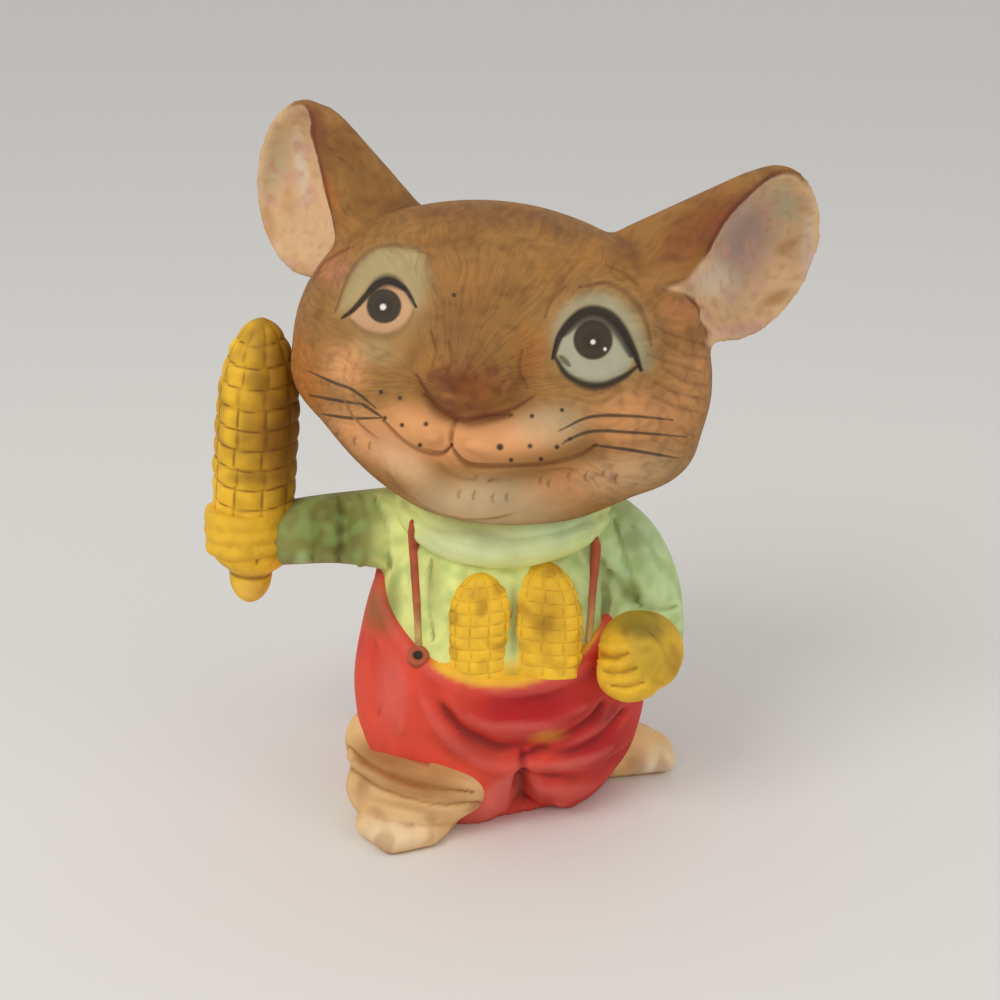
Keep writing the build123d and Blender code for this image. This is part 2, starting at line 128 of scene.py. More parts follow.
class MouseCorn(PropertyGroup):
    """Sizes of the ears of corn."""

    held_foot: place("Held foot", (-41.7, 3.2, 32.8), "Stalk end of the held ear")
    held_top: place("Held top", (-37.4, 3.0, 81.5), "Tip of the held ear")
    held_radius: size("Held radius", 6.9, "Radius of the held ear")
    held_rows: IntProperty(name="Held rows", description="Rows of kernels on the held ear", default=12)
    held_columns: IntProperty(name="Held columns", description="Kernels around the held ear", default=9)
    held_bare: size("Held bare length", 9.0, "Length of the stalk end, which has no kernels")
    held_cap: size("Held cap", 16.0, "Height of the round top of the held ear")
    stalk_radius: size("Stalk radius", 4.0, "Radius of the held ear's stalk end")
    pocket_sink: size("Pocket sink", 2.2, "How deep the ears in the waistband sit in the sweater")
    pocket_flat: FloatProperty(name="Pocket flatness", description="Depth over width", default=0.6)
    pocket_kernel: size("Pocket kernel relief", 0.4, "Relief of the kernels in the waistband")
    kernel: size("Kernel relief", 0.5, "How far a kernel stands out of its grooves")


class MousePaint(PropertyGroup):
    """Colours of the cold paint."""

    fur: colour("Fur", "#9d6f36", "Brown of the head")
    fur_dark: colour("Dark fur", "#683f1f", "Brush strokes and hollows of the fur")
    cheek: colour("Cheek", "#bd7129", "Golden orange of the cheeks")
    muzzle: colour("Muzzle", "#eba66c", "Peach of the muzzle")
    chin: colour("Chin", "#d6ba90", "Greyish cream under the chin")
    nose: colour("Nose", "#87481b", "Brown of the nose")
    ear_skin: colour("Ear skin", "#d8b286", "Pale inside of the ears")
    ear_pale: colour("Ear white", "#dccfb8", "Whitish strip in the ears")
    ear_blush: colour("Ear blush", "#cd9c8c", "Pink blotches in the ears")
    ear_grey: colour("Ear grey", "#94807f", "Lavender grey blotches in the ears")
    ear_green: colour("Ear green", "#b4ae8c", "Greenish grey blotches in the ears")
    ear_tan: colour("Ear tan", "#b07f47", "Tan blotches in the ears")
    ear_rust: colour("Ear rust", "#864a1c", "Rust brown of the left ear's fold")
    ear_edge: colour("Ear edge", "#6b2e18", "Dark red along the ears' edges and on the nose")
    ear_lobe: colour("Ear lobe", "#bb7a58", "Reddish lumps under the ears")
    lid: colour("Lid", "#b3a172", "Grey olive of the eyelids")
    lid_pale: colour("Pale lid", "#a09f80", "Blue green of the left eyelid")
    white: colour("Eye white", "#a8a68a", "Grey green cream of the left eye")
    white_warm: colour("Warm eye white", "#c79b72", "Peach cream of the right eye")
    iris: colour("Iris", "#3f3526", "Dark grey of the irises")
    # Besides the eyes' painted highlights, the glint is painted light on the shaded underside of the left
    # toe
    glint: colour("Glint", "#eee9da", "Painted highlights in the eyes, and the palest toe")
    # The line colour also draws painted shade in the crotch fold, and the painted shadow under the upper
    # lids
    line: colour("Line", "#302920", "Thin drawn lines, whiskers and dots")
    sweater: colour("Sweater", "#e0e68c", "Pale yellow green of the sweater")
    sweater_mint: colour("Mint", "#bdd39b", "Mint of its left side")
    # Painted light: whitish green that lifts the collar's crest where shade falls under the chin
    collar_painted_light: colour("Pale collar", "#eef4c4", "Whitish green on the crest of the collar")
    sweater_green: colour("Green wash", "#93b162", "Green wash in patches of the sweater")
    # The olive is also painted shade: in the folds, and under the left cuff at the top of the fist
    sweater_fold: colour("Sweater folds", "#6c6a2c", "Olive of the folds")
    trousers: colour("Trousers", "#e04a33", "Coral red of the trousers")
    trousers_rose: colour("Rose", "#b0141b", "Crimson of their left side")
    # On the ridges of the folds the pink is painted highlight
    trousers_pink: colour("Pink", "#d9675c", "Thin red on the ridges of the folds")
    # In the trousers the dark red is painted shade in the folds
    trousers_fold: colour("Trouser folds", "#6f0f12", "Dark red of the folds")
    brace: colour("Braces", "#b2573a", "Dull red of the braces")
    corn: colour("Corn", "#f0bd2e", "Mustard yellow of the corn")
    # The brown is also painted shade: on the held ear's side against the cheek, and at the top of the left
    # fist under its cuff
    corn_wash_and_shade: colour("Corn wash", "#744208", "Brown wash between the kernels")
    paw: colour("Paws", "#e8b72e", "Bright yellow of the paws")
    foot: colour("Feet", "#e6bb80", "Tan of the feet")
    # On the stalk of the held ear and on the left toe this cream is partly painted light, lifting shade
    foot_pale: colour("Pale feet", "#ecd2a8", "Cream on the toes, the chin and the stalk")
    foot_wash: colour("Foot wash", "#9a5f22", "Brown wash on the feet")
    bare_clay: colour("Bare clay", "#e6e3de", "Unpainted porcelain in the vent")
    floor: colour("Floor", "#e6e3de", "Plain pale floor")


class MouseStage(PropertyGroup):
    """The view of the photograph and its light."""

    elevation: angle("Elevation", 20, "How far the camera looks down")
    distance: size("Distance", 300.0, "Camera to the point that it looks at")
    target: size("Target height", 52.0, "Height of the point that the camera looks at")
    focal: FloatProperty(name="Focal length (px)", description="Focal length in pixels", default=1860.0)
    key: FloatProperty(name="Key", description="Power of the large lamp", default=2.0, unit="POWER")
    sky: FloatProperty(name="Sky", description="Strength of the even light", default=0.62)


def settings():
    """The scene's property groups for this figure."""
    return bpy.context.scene.mouse_figure


# Clay: lumps, limbs and skins, in millimetres


def smooth(low, high, value):
    """0 below the low edge, 1 above the high edge, and an even S between them."""
    share = np.clip((np.asarray(value) - low) / (high - low), 0, 1)
    return share * share * (3 - 2 * share)


def smooth_path(points, steps=8):
    """Points along a smooth curve that passes through a few given ones."""
    points = np.asarray(points, float)
    ends = np.vstack((2 * points[0] - points[1], points, 2 * points[-1] - points[-2]))
    path = []
    for a, b, c, d in zip(ends, ends[1:], ends[2:], ends[3:]):
        for share in np.arange(steps) / steps:
            pull = (b * 2) + (c - a) * share + (2 * a - 5 * b + 4 * c - d) * share**2
            path.append((pull + (3 * b - 3 * c + d - a) * share**3) / 2)
    return np.array(path + [points[-1]])


def ball(bm, centre, radii, turn=(0, 0, 0)):
    """Add an oval lump of clay, turned about its own middle by angles in degrees."""
    spin = Euler([math.radians(t) for t in turn]).to_matrix().to_4x4()
    matrix = Matrix.Translation(centre) @ spin @ Matrix.Diagonal((*radii, 1))
    return bmesh.ops.create_icosphere(bm, subdivisions=4, radius=1, matrix=matrix)["verts"]


def limb(bm, points, radii, steps=10):
    """Add a limb as a close row of lumps along a smooth run, with a radius at each given point."""
    path = smooth_path(points, steps)
    reach = smooth_path(np.array(radii)[:, None], steps)[:, 0]
    for middle, radius in zip(path, reach):
        ball(bm, middle, (radius, radius, radius))


def loft(bm, rings):
    """Add a closed skin over rings of points, from the first ring to the last."""
    loops = []
    for ring in rings:
        verts = bmesh.ops.create_circle(bm, segments=len(ring), radius=1)["verts"]
        for vert, spot in zip(verts, ring):
            vert.co = spot
        loops.append(list({edge for vert in verts for edge in vert.link_edges}))
    for lower, upper in zip(loops, loops[1:]):
        bmesh.ops.bridge_loops(bm, edges=lower + upper)
    for end in (loops[0], loops[-1]):
        bmesh.ops.edgeloop_fill(bm, edges=end)
    bmesh.ops.recalc_face_normals(bm, faces=bm.faces)


def join(bm, other):
    """Move the clay of another mesh into this one."""
    mesh = bpy.data.meshes.new("lump")
    other.to_mesh(mesh)
    other.free()
    bm.from_mesh(mesh)
    bpy.data.meshes.remove(mesh)


def spun(profile, steps=72):
    """A closed solid spun about Z from points of radius and height, with both ends on the axis."""
    bm = bmesh.new()
    verts = [bm.verts.new((reach, 0, height)) for reach, height in profile]
    edges = [bm.edges.new(pair) for pair in zip(verts, verts[1:])]
    bmesh.ops.spin(
        bm, geom=verts + edges, cent=(0, 0, 0), axis=(0, 0, 1), angle=math.tau, steps=steps, use_merge=True
    )
    bmesh.ops.remove_doubles(bm, verts=bm.verts, dist=0.01)
    bmesh.ops.recalc_face_normals(bm, faces=bm.faces)
    return bm


def hull(knobs):
    """The taut skin over a few round knobs, each a place and a radius."""
    bm = bmesh.new()
    for middle, radius in knobs:
        bmesh.ops.create_icosphere(bm, subdivisions=2, radius=radius, matrix=Matrix.Translation(middle))
    bmesh.ops.delete(bm, geom=bm.edges[:], context="EDGES_FACES")
    made = bmesh.ops.convex_hull(bm, input=bm.verts[:])
    spare = {item for item in made["geom_interior"] if isinstance(item, bmesh.types.BMVert)}
    bmesh.ops.delete(bm, geom=list(spare), context="VERTS")
    bmesh.ops.recalc_face_normals(bm, faces=bm.faces)
    return bm


def clay_object(bm):
    """A passing object for modifiers to work on."""
    mesh = bpy.data.meshes.new("clay")
    bm.to_mesh(mesh)
    bm.free()
    lump = bpy.data.objects.new("clay", mesh)
    bpy.context.scene.collection.objects.link(lump)
    return lump


def even_out(bm, verts, rounds):
    """Smooth some points towards their neighbours."""
    for _ in range(rounds):
        bmesh.ops.smooth_vert(
            bm, verts=verts, factor=0.5, use_axis_x=True, use_axis_y=True, use_axis_z=True
        )


def meld(bm, grain, rounds, cutter=None):
    """Press overlapping lumps into one even skin with a given spacing, and smooth its steps away.

    A cutter is carved out of the pressed lumps first.
    """
    lumps = [clay_object(bm)]
    press = lumps[0].modifiers.new("press", "REMESH")
    press.voxel_size = grain
    if cutter:
        lumps.append(clay_object(cutter))
        carve = lumps[0].modifiers.new("carve", "BOOLEAN")
        carve.object = lumps[1]
        again = lumps[0].modifiers.new("press again", "REMESH")
        again.voxel_size = grain
    graph = bpy.context.evaluated_depsgraph_get()
    pressed = lumps[0].evaluated_get(graph)
    skin = bmesh.new()
    skin.from_mesh(pressed.to_mesh())
    pressed.to_mesh_clear()
    for lump in lumps:
        bpy.data.meshes.remove(lump.data)
    even_out(skin, skin.verts, rounds)
    return skin


def photo_view(points):
    """Pixels of the photograph's frame at which places in millimetres appear."""
    stage = settings().stage
    rise, level = math.sin(stage.elevation), math.cos(stage.elevation)
    height = points[:, 2] - stage.target
    scale = stage.focal / (stage.distance + points[:, 1] * level - height * rise)
    across = FRAME_SIDE / 2 + points[:, 0] * scale
    down = FRAME_SIDE / 2 - (points[:, 1] * rise + height * level) * scale
    return np.stack((across, down), 1)


def camera_place():
    """Where the photograph's camera stands, in millimetres."""
    stage = settings().stage
    back = stage.distance * math.cos(stage.elevation)
    return np.array((0, -back, stage.target + stage.distance * math.sin(stage.elevation)))


def beside(spots, start, end):
    """How far along a straight run each spot lies, as a share, and how far off it."""
    run = end - start
    share = np.clip((spots - start) @ run / (run @ run), 0, 1)
    return share, np.linalg.norm(spots - start - share[:, None] * run, axis=1)


class Skin:
    """A clay skin: its mesh, with places, outward directions and paint as arrays."""

    def __init__(self, bm, ground):
        self.bm = bm
        self.read()
        self.paint = np.tile(np.array(ground, float), (len(self.co), 1))
        self.flow = np.zeros((len(self.co), 3))

    def read(self):
        """Take the places and directions from the mesh."""
        self.bm.normal_update()
        self.co = np.array([vert.co for vert in self.bm.verts])
        self.normal = np.array([vert.normal for vert in self.bm.verts])
        self.px = photo_view(self.co)
        sight = camera_place() - self.co
        sight /= np.linalg.norm(sight, axis=1)[:, None]
        self.facing = smooth(0.02, 0.25, (sight * self.normal).sum(1))

    def move(self, shift):
        """Move each point by its own shift."""
        self.co += shift
        for vert, spot in zip(self.bm.verts, self.co):
            vert.co = spot
        self.read()

    def push(self, amount):
        """Move each point along its outward direction."""
        self.move(self.normal * np.asarray(amount)[:, None])

    def tint(self, weight, coat):
        """Lay a colour over the paint, as thickly as each point's weight says."""
        self.paint += (np.array(coat) - self.paint) * np.clip(weight, 0, 1)[:, None]

    def mottle(self, coat, strength, grain, seed, low, high):
        """Lay a colour in soft blotches of a given size, where the noise passes from low to high."""
        self.tint(smooth(low, high, self.cloud(grain, seed)) * strength, coat)

    def wash(self, coat, strength, rounds, low, high):
        """Lay a colour where the clay lies from low to high millimetres deep; on the clothes it stands for
        painted shade in the folds.
        """
        self.tint(smooth(low, high, self.hollows(rounds)) * strength, coat)

    def in_view(self, path, margin):
        """Numbers of the points that face the camera near a path of pixels."""
        near = ((self.px > path.min(0) - margin) & (self.px < path.max(0) + margin)).all(1)
        return np.flatnonzero(near & (self.facing > 0))

    def line(self, path, width, tip=0.35, core=0.3):
        """Weight of a drawn line through pixels of the photograph, thinner at its ends."""
        path = smooth_path(path)
        near = self.in_view(path, width)
        spots = self.px[near]
        gap = np.full(len(near), np.inf)
        for step, (start, end) in enumerate(zip(path, path[1:])):
            share, off = beside(spots, start, end)
            end_share = abs(2 * (step + share) / (len(path) - 1) - 1)
            gap = np.minimum(gap, off / (width * (1 - (1 - tip) * end_share**2)))
        weight = np.zeros(len(self.px))
        weight[near] = smooth(1, core, gap) * self.facing[near]
        return weight

    def spot(self, middle, radii, turn=0.0, core=0.4):
        """Weight of a turned oval spot about a pixel of the photograph."""
        lean = math.radians(turn)
        off = self.px - np.array(middle)
        along = (off[:, 0] * math.cos(lean) + off[:, 1] * math.sin(lean)) / radii[0]
        across = (off[:, 1] * math.cos(lean) - off[:, 0] * math.sin(lean)) / radii[1]
        return smooth(1, core, np.hypot(along, across)) * self.facing

    def patch(self, outline, soft):
        """Weight of the inside of a closed outline of pixels, with a soft edge."""
        path = smooth_path([*outline, outline[0]])
        near = self.in_view(path, soft)
        spots = self.px[near]
        gap = np.full(len(near), np.inf)
        inside = np.zeros(len(near), bool)
        for start, end in zip(path, path[1:]):
            run = end - start
            gap = np.minimum(gap, beside(spots, start, end)[1])
            below = (start[1] > spots[:, 1]) != (end[1] > spots[:, 1])
            with np.errstate(divide="ignore", invalid="ignore"):
                meet = start[0] + (spots[:, 1] - start[1]) / run[1] * run[0]
            inside ^= below & (spots[:, 0] < meet)
        weight = np.zeros(len(self.px))
        weight[near] = smooth(-soft, soft, np.where(inside, gap, -gap)) * self.facing[near]
        return weight

    def near(self, middle, radii, core=0.3):
        """Weight of an oval ball about a place in millimetres."""
        return smooth(1, core, np.linalg.norm((self.co - np.array(middle)) / np.array(radii), axis=1))

    def cloud(self, grain, seed=0.0):
        """Soft noise between -1 and 1 with blotches of a given size."""
        shift = Vector((seed, seed * 1.7, -seed))
        return np.array([noise.noise(Vector(spot) / grain + shift) for spot in self.co])

    def hollows(self, rounds):
        """How deep each point lies below its smoothed surroundings, in millimetres."""
        ends = np.array([[vert.index for vert in edge.verts] for edge in self.bm.edges])
        count = np.bincount(ends.ravel(), minlength=len(self.co))[:, None]
        even = self.co.copy()
        for _ in range(rounds):
            total = np.zeros_like(even)
            for axis in range(3):
                total[:, axis] = np.bincount(ends[:, 0], even[ends[:, 1], axis], len(even))
                total[:, axis] += np.bincount(ends[:, 1], even[ends[:, 0], axis], len(even))
            even = (even + total / count) / 2
        return ((even - self.co) * self.normal).sum(1)

    def refine(self, weight):
        """Divide the faces where a weight is high, for finer detail there."""
        marked = {vert for vert, share in zip(self.bm.verts, weight) if share > 0}
        edges = [edge for edge in self.bm.edges if all(vert in marked for vert in edge.verts)]
        made = bmesh.ops.subdivide_edges(self.bm, edges=edges, cuts=1, use_grid_fill=True)
        fresh = [item for item in made["geom_inner"] if isinstance(item, bmesh.types.BMVert)]
        even_out(self.bm, fresh, 1)
        ground = self.paint[0]
        self.bm.verts.index_update()
        self.__init__(self.bm, ground)

    def keep_paint(self):
        """Store the paint and the brush flow on the mesh."""
        coat = self.bm.verts.layers.float_color.new("paint")
        flow = self.bm.verts.layers.float_vector.new("flow")
        for vert, tone, run in zip(self.bm.verts, self.paint, self.flow):
            vert[coat] = (*tone, 1)
            vert[flow] = run
        return self.bm


def cut(bm, point, normal, keep_outer):
    """Cut a skin at a plane and keep one side of it. Returns the edges of the seam."""
    made = bmesh.ops.bisect_plane(
        bm,
        geom=bm.verts[:] + bm.edges[:] + bm.faces[:],
        plane_co=point,
        plane_no=normal,
        clear_outer=not keep_outer,
        clear_inner=keep_outer,
    )
    return [item for item in made["geom_cut"] if isinstance(item, bmesh.types.BMEdge)]


def cut_off(bm, point, normal):
    """Part a skin at a plane. Returns the piece on the normal's side; the mesh keeps the rest."""
    taken = bm.copy()
    for side, keep_outer in ((taken, True), (bm, False)):
        seam = cut(side, point, normal, keep_outer)
        bmesh.ops.edgeloop_fill(side, edges=seam)
        for edge in seam:
            edge.smooth = False
    return taken


def piece(bm, name, node, material):
    """Write a finished mesh as the piece that stands for a CAD node."""
    bmesh.ops.scale(bm, vec=(MM, MM, MM), verts=bm.verts)
    bmesh.ops.recalc_face_normals(bm, faces=bm.faces)
    for face in bm.faces:
        face.smooth = True
    mesh = bpy.data.meshes.new(name)
    bm.to_mesh(mesh)
    bm.free()
    mesh.materials.append(material)
    item = bpy.data.objects.new(name, mesh)
    bpy.context.scene.collection.objects.link(item)
    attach(item, BODY)
    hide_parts(node)
    return item


# Finishes

FUR_RELIEF = 0.25  # depth in millimetres of the strokes combed into the clay


def node(tree, kind, links=(), **values):
    """Add a shader node, set its values and its inputs, and link it to earlier sockets."""
    made = tree.nodes.new(kind)
    for key, value in values.items():
        if key in made.bl_rna.properties:
            setattr(made, key, value)
        else:
            made.inputs[key.replace("_", " ")].default_value = value
    for name, socket in dict(links).items():
        tree.links.new(socket, made.inputs[name])
    return made


def bisque(name, roughness, blotch, depth, grain, relief, streak=0.0):
    """Cold-painted bisque porcelain: matt paint, thin in places, over a fine unglazed grit.

    The blotch, the grain and the relief are in millimetres. Real grit is too fine to show, so it is
    drawn coarser. A streak lays brush strokes along the flow, as strongly as its third part says.
    """
    material = bpy.data.materials.get(name)
    if material:
        return material
    material = bpy.data.materials.new(name)
    material.use_nodes = True
    tree = material.node_tree
    tree.nodes.clear()
    coat = node(tree, "ShaderNodeAttribute", attribute_name="paint")
    spot = node(tree, "ShaderNodeTexCoord").outputs["Object"]
    cloud = node(tree, "ShaderNodeTexNoise", {"Vector": spot}, Scale=1 / (blotch * MM), Detail=4.0)
    thin = node(
        tree, "ShaderNodeMapRange", {"Value": cloud.outputs["Fac"]},
        From_Min=0.3, From_Max=0.7, To_Min=1 - depth, To_Max=1 + depth,
    )
    shade = thin.outputs["Result"]
    grit = node(tree, "ShaderNodeTexNoise", {"Vector": spot}, Scale=1 / (grain * MM), Detail=3.0)
    bump = node(tree, "ShaderNodeBump", {"Height": grit.outputs["Fac"]}, Strength=0.5, Distance=relief * MM)
    if streak:
        flow = node(tree, "ShaderNodeAttribute", attribute_name="flow").outputs["Vector"]
        part = node(tree, "ShaderNodeSeparateXYZ", {"Vector": flow}).outputs
        along = node(tree, "ShaderNodeCombineXYZ", {"X": part["X"], "Y": part["Y"]}).outputs["Vector"]
        hair = node(
            tree, "ShaderNodeTexNoise", {"Vector": along}, Scale=1.0, Detail=2.0, Distortion=0.6
        ).outputs["Fac"]
        stroke = node(
            tree, "ShaderNodeMapRange", {"Value": hair},
            From_Min=0.34, From_Max=0.62, To_Min=-streak, To_Max=streak * 0.5,
        ).outputs["Result"]
        laid = node(tree, "ShaderNodeMath", {0: stroke, 1: part["Z"]}, operation="MULTIPLY").outputs[0]
        shade = node(tree, "ShaderNodeMath", {0: shade, 1: laid}, operation="ADD").outputs[0]
        comb = node(tree, "ShaderNodeMath", {0: hair, 1: part["Z"]}, operation="MULTIPLY").outputs[0]
        bump = node(
            tree, "ShaderNodeBump", {"Height": comb, "Normal": bump.outputs["Normal"]},
            Strength=0.7, Distance=FUR_RELIEF * MM,
        )
    mixed = node(
        tree, "ShaderNodeVectorMath", {0: coat.outputs["Color"], "Scale": shade}, operation="SCALE"
    )
    gloss = node(
        tree, "ShaderNodeMapRange", {"Value": cloud.outputs["Fac"]},
        From_Min=0.3, From_Max=0.7, To_Min=roughness - 0.06, To_Max=roughness + 0.06,
    )
    shader = node(
        tree, "ShaderNodeBsdfPrincipled",
        {
            "Base Color": mixed.outputs["Vector"],
            "Roughness": gloss.outputs["Result"],
            "Normal": bump.outputs["Normal"],
        },
        IOR=1.5, Specular_IOR_Level=0.3,
    )
    node(tree, "ShaderNodeOutputMaterial", {"Surface": shader.outputs["BSDF"]})
    return material


def fur_paint():
    """Thin brown paint brushed over bisque, so the strokes show."""
    return bisque("cold-painted bisque fur", 0.7, 5.0, 0.10, 0.35, 0.05, streak=0.15)


def cloth_paint():
    """Flat colour brushed over bisque, thinner in places."""
    return bisque("cold-painted bisque cloth", 0.66, 4.0, 0.09, 0.35, 0.06)


def corn_paint():
    """Yellow paint with a brown wash that stays in the grooves."""
    return bisque("washed bisque corn", 0.64, 2.2, 0.10, 0.3, 0.06)


def foot_paint():
    """Bare tan slip with a brown wash."""
    return bisque("washed bisque feet", 0.68, 3.0, 0.08, 0.3, 0.05)


# Head: lumps in millimetres in the head's own frame, the right half of each pair left out

FACE_LUMPS = (
    ((0, -19, 0.5), (10.5, 13, 9)),
    ((7.2, -20.3, -7.8), (12, 7.6, 7.0)),
    ((0, -14.5, -14.5), (14, 9.2, 9.2)),
    ((21.5, 0, -7), (11.5, 13, 9.5)),
    ((16.3, -14.4, 7.6), (9, 7.6, 8.6)),
)
NOSE_LUMPS = (
    ((0, -28.3, -1.6), (7.8, 5.2, 5)),
    ((0, -27, 2), (6.4, 4, 4)),
)
CUP_STEPS = 14
CUP_FULLNESS = 0.6  # power that rounds the back of an ear
HOLLOW_FULLNESS = 0.8  # power that rounds the hollow of an ear
EAR_RIM = ((0.15, 0.3), (0.6, 0.6), (1.3, 0.7))  # millimetres in from an ear's edge, and up
MOUTH_RISE = 6.0  # how far the cutter of the hollow stands out of an ear
TIP_DRAW, TIP_BEARING, TIP_SPREAD = 0.06, 0.25, 0.4  # share that the tip is drawn out, and where
LOBE_RADII = (4.2, 3.6, 4.2)

# Bearings from the tip of the knobs under an ear's fold, then the knobs under its root on the head
FOLD_BEARINGS = (0.1, 0.75, 1.35, 1.8, 2.1)
FOLD_BACK = (0.3, 0.6, 0.9)
FOLD_KNOB = 1.3
FOLD_ROOTS = {
    -1: (((18.8, 0, -2.5), 3.5), ((16.5, -8, -10), 3.5), ((10.8, 6, -5.5), 6.0)),
    1: (((-18.8, 0, -2.5), 3.5), ((-12.3, -10, -9.5), 4.0), ((-10.8, 6, -5.5), 6.0)),
}
CURL_BEARING = 1.08  # where along its rim an ear is curled most, in radians from the tip
CURL_SPREAD = 0.85
HEAD_FLATTENING = 1.2  # millimetres taken off the crown
JAW_TAPER = 0.13  # how much narrower the head is at the chin
FUR_START = (0, -26, 0)  # where the strokes of the fur begin, on the nose
EAR_CUT = 30.5  # how far from the skull's middle the ears are parted from the head
EAR_CUT_FACING = (0.75, 0.1, 0.66)
NOSE_CUT = 28.8

# Pixels of the photograph where the painted lines of the head pass

EYES = (
    {
        "iris": (384, 306),
        "iris_radius": 18.5,
        "glints": (((383, 307), 4.0),),
        "white": (
            (350, 317), (361, 304), (375, 288), (388, 283), (402, 290), (412, 307), (404, 324),
            (386, 333), (365, 329),
        ),
        "white_coat": "white_warm",
        "lid_line": ((342, 318), (353, 310), (366, 296), (378, 284), (390, 281), (405, 289), (416, 307)),
        "lid_width": 5.0,
        "lower_ink": 0.2,
        "shadow_width": 10,
        "shadow": ((368, 292), (380, 283), (392, 281), (405, 289)),
        "lower": ((350, 320), (366, 332), (386, 336), (405, 327), (414, 311)),
        "lid": (
            (338, 313), (350, 275), (365, 256), (381, 247), (405, 247), (424, 255), (426, 285), (416, 306),
            (402, 287), (386, 279), (371, 284), (355, 303),
        ),
        "lid_coat": "lid",
        "crease": ((335, 312), (349, 275), (364, 255), (381, 246), (405, 246), (428, 254)),
    },
    {
        "iris": (593, 340),
        "iris_radius": 21,
        "glints": (((593, 342), 3.2), ((605, 349), 2.2)),
        "white": (
            (557, 354), (563, 335), (576, 320), (590, 313), (608, 318), (621, 334), (631, 352), (632, 363),
            (622, 375), (603, 383), (584, 382), (567, 372),
        ),
        "white_coat": "white",
        "lid_line": (
            (553, 358), (560, 336), (574, 319), (590, 311), (608, 315), (623, 331), (634, 352), (641, 370),
        ),
        "lid_width": 8.0,
        "lower_ink": 0.95,
        "shadow_width": 13,
        "shadow": ((564, 334), (577, 321), (591, 316), (608, 320), (621, 334), (631, 355)),
        "lower": ((555, 357), (566, 374), (584, 384), (604, 385), (623, 377), (638, 366)),
        "lid": (
            (553, 345), (556, 322), (570, 303), (590, 294), (612, 297), (632, 314), (645, 340), (650, 368),
            (640, 366), (632, 342), (620, 323), (606, 312), (589, 306), (572, 315), (560, 333),
        ),
        "lid_coat": "lid_pale",
        "crease": ((580, 287), (607, 283), (630, 296), (645, 318), (652, 345)),
    },
)
WHISKERS = (
    ((308, 371), (335, 383), (353, 390), (376, 408)),
    ((309, 395), (335, 400), (359, 404)),
    ((322, 414), (350, 418), (381, 418)),
    ((358, 402), (370, 409), (383, 418)),
    ((559, 431), (590, 417), (630, 416), (673, 420)),
    ((562, 444), (572, 438), (595, 431), (640, 433), (687, 437)),
    ((592, 445), (630, 450), (677, 458)),
)
DOTS = (
    ((381, 392), 3.2), ((400, 398), 3.0), ((426, 424), 3.4), ((402, 425), 3.2), ((420, 445), 3.2),
    ((385, 418), 2.8), ((532, 416), 3.2), ((500, 447), 5.0), ((511, 460), 3.2), ((530, 446), 3.4),
    ((541, 459), 3.2), ((557, 447), 3.4), ((570, 439), 3.0), ((562, 410), 3.0), ((454, 295), 3.2),
)
MOUTH_LEFT = ((383, 421), (404, 441), (424, 452), (442, 454), (452, 446))
MOUTH_RIGHT = ((451, 447), (462, 461), (477, 467), (508, 466), (546, 464), (577, 457), (597, 445))
PHILTRUM = ((456, 420), (452, 432), (451, 447))
NOSE_LINE = ((416, 374), (430, 396), (445, 411), (462, 419), (482, 416), (510, 410), (534, 396))
LOWER_LIP = ((443, 461), (456, 470), (474, 476))
LOBE_CREASES = (
    ((354, 246), (341, 252), (324, 263), (313, 280)),
    ((660, 289), (676, 291), (692, 299), (702, 317), (707, 338)),
)
EAR_PINCH = ((662, 288), (688, 279), (712, 252), (722, 290), (708, 322), (700, 308), (688, 296))
TEAR_DUCT = ((560, 356), (565, 361), (570, 366))
BROW_STROKES = (
    ((607, 265), (626, 274), (639, 285)),
    ((545, 318), (552, 300), (566, 286)),
    ((430, 330), (436, 350), (430, 372)),
    ((448, 340), (452, 358), (446, 374)),
    ((523, 350), (520, 370), (528, 388)),
)
CHIN_TICKS = (
    (459, 499), (474, 500), (493, 502), (507, 502), (541, 485), (549, 488), (569, 481),
    (586, 481), (604, 478), (616, 483), (337, 440), (355, 445), (370, 450), (328, 428),
)
TICK = 9.0  # length of a drawn tick in pixels
CHEEK_WRINKLES = 6
CHEEK_WRINKLE_START = (656, 326)
CHEEK_WRINKLE_STEP = 14.0
CHEEK_WRINKLE_SWAY = 9.0

# Ovals of pixels: where the skin is fine, where it has no fur, and the tip of the nose
FINE_SPOTS = (((500, 390), (225, 150)), ((305, 190), (75, 105)), ((745, 255), (85, 100)))
BARE_SPOTS = (((470, 440), (160, 62)), ((488, 500), (130, 40)))
NOSE_TIP = ((470, 384), (62, 40))
EYE_REACH = (58, 50)

# Relief of the face: height in millimetres, width and path in pixels
FACE_RELIEF = (
    (-0.7, 5, MOUTH_LEFT),
    (-0.8, 5, MOUTH_RIGHT),
    (-0.4, 5, PHILTRUM),
    (0.8, 22, ((395, 412), (415, 428), (436, 437))),
    (0.7, 22, ((470, 445), (508, 449), (548, 446), (580, 438))),
    (-0.5, 14, ((490, 482), (530, 481), (572, 472))),
    (0.8, 9, LOWER_LIP),
    (-0.9, 8, ((424, 396), (441, 416), (462, 425), (484, 421), (512, 415))),
    (0.7, 20, ((440, 392), (462, 398), (490, 396))),
    (-0.4, 8, ((352, 247), (335, 256), (318, 272))),
    (-0.9, 10, ((664, 288), (684, 290), (704, 306))),
    *((-0.25, 5, path) for path in BROW_STROKES),
)

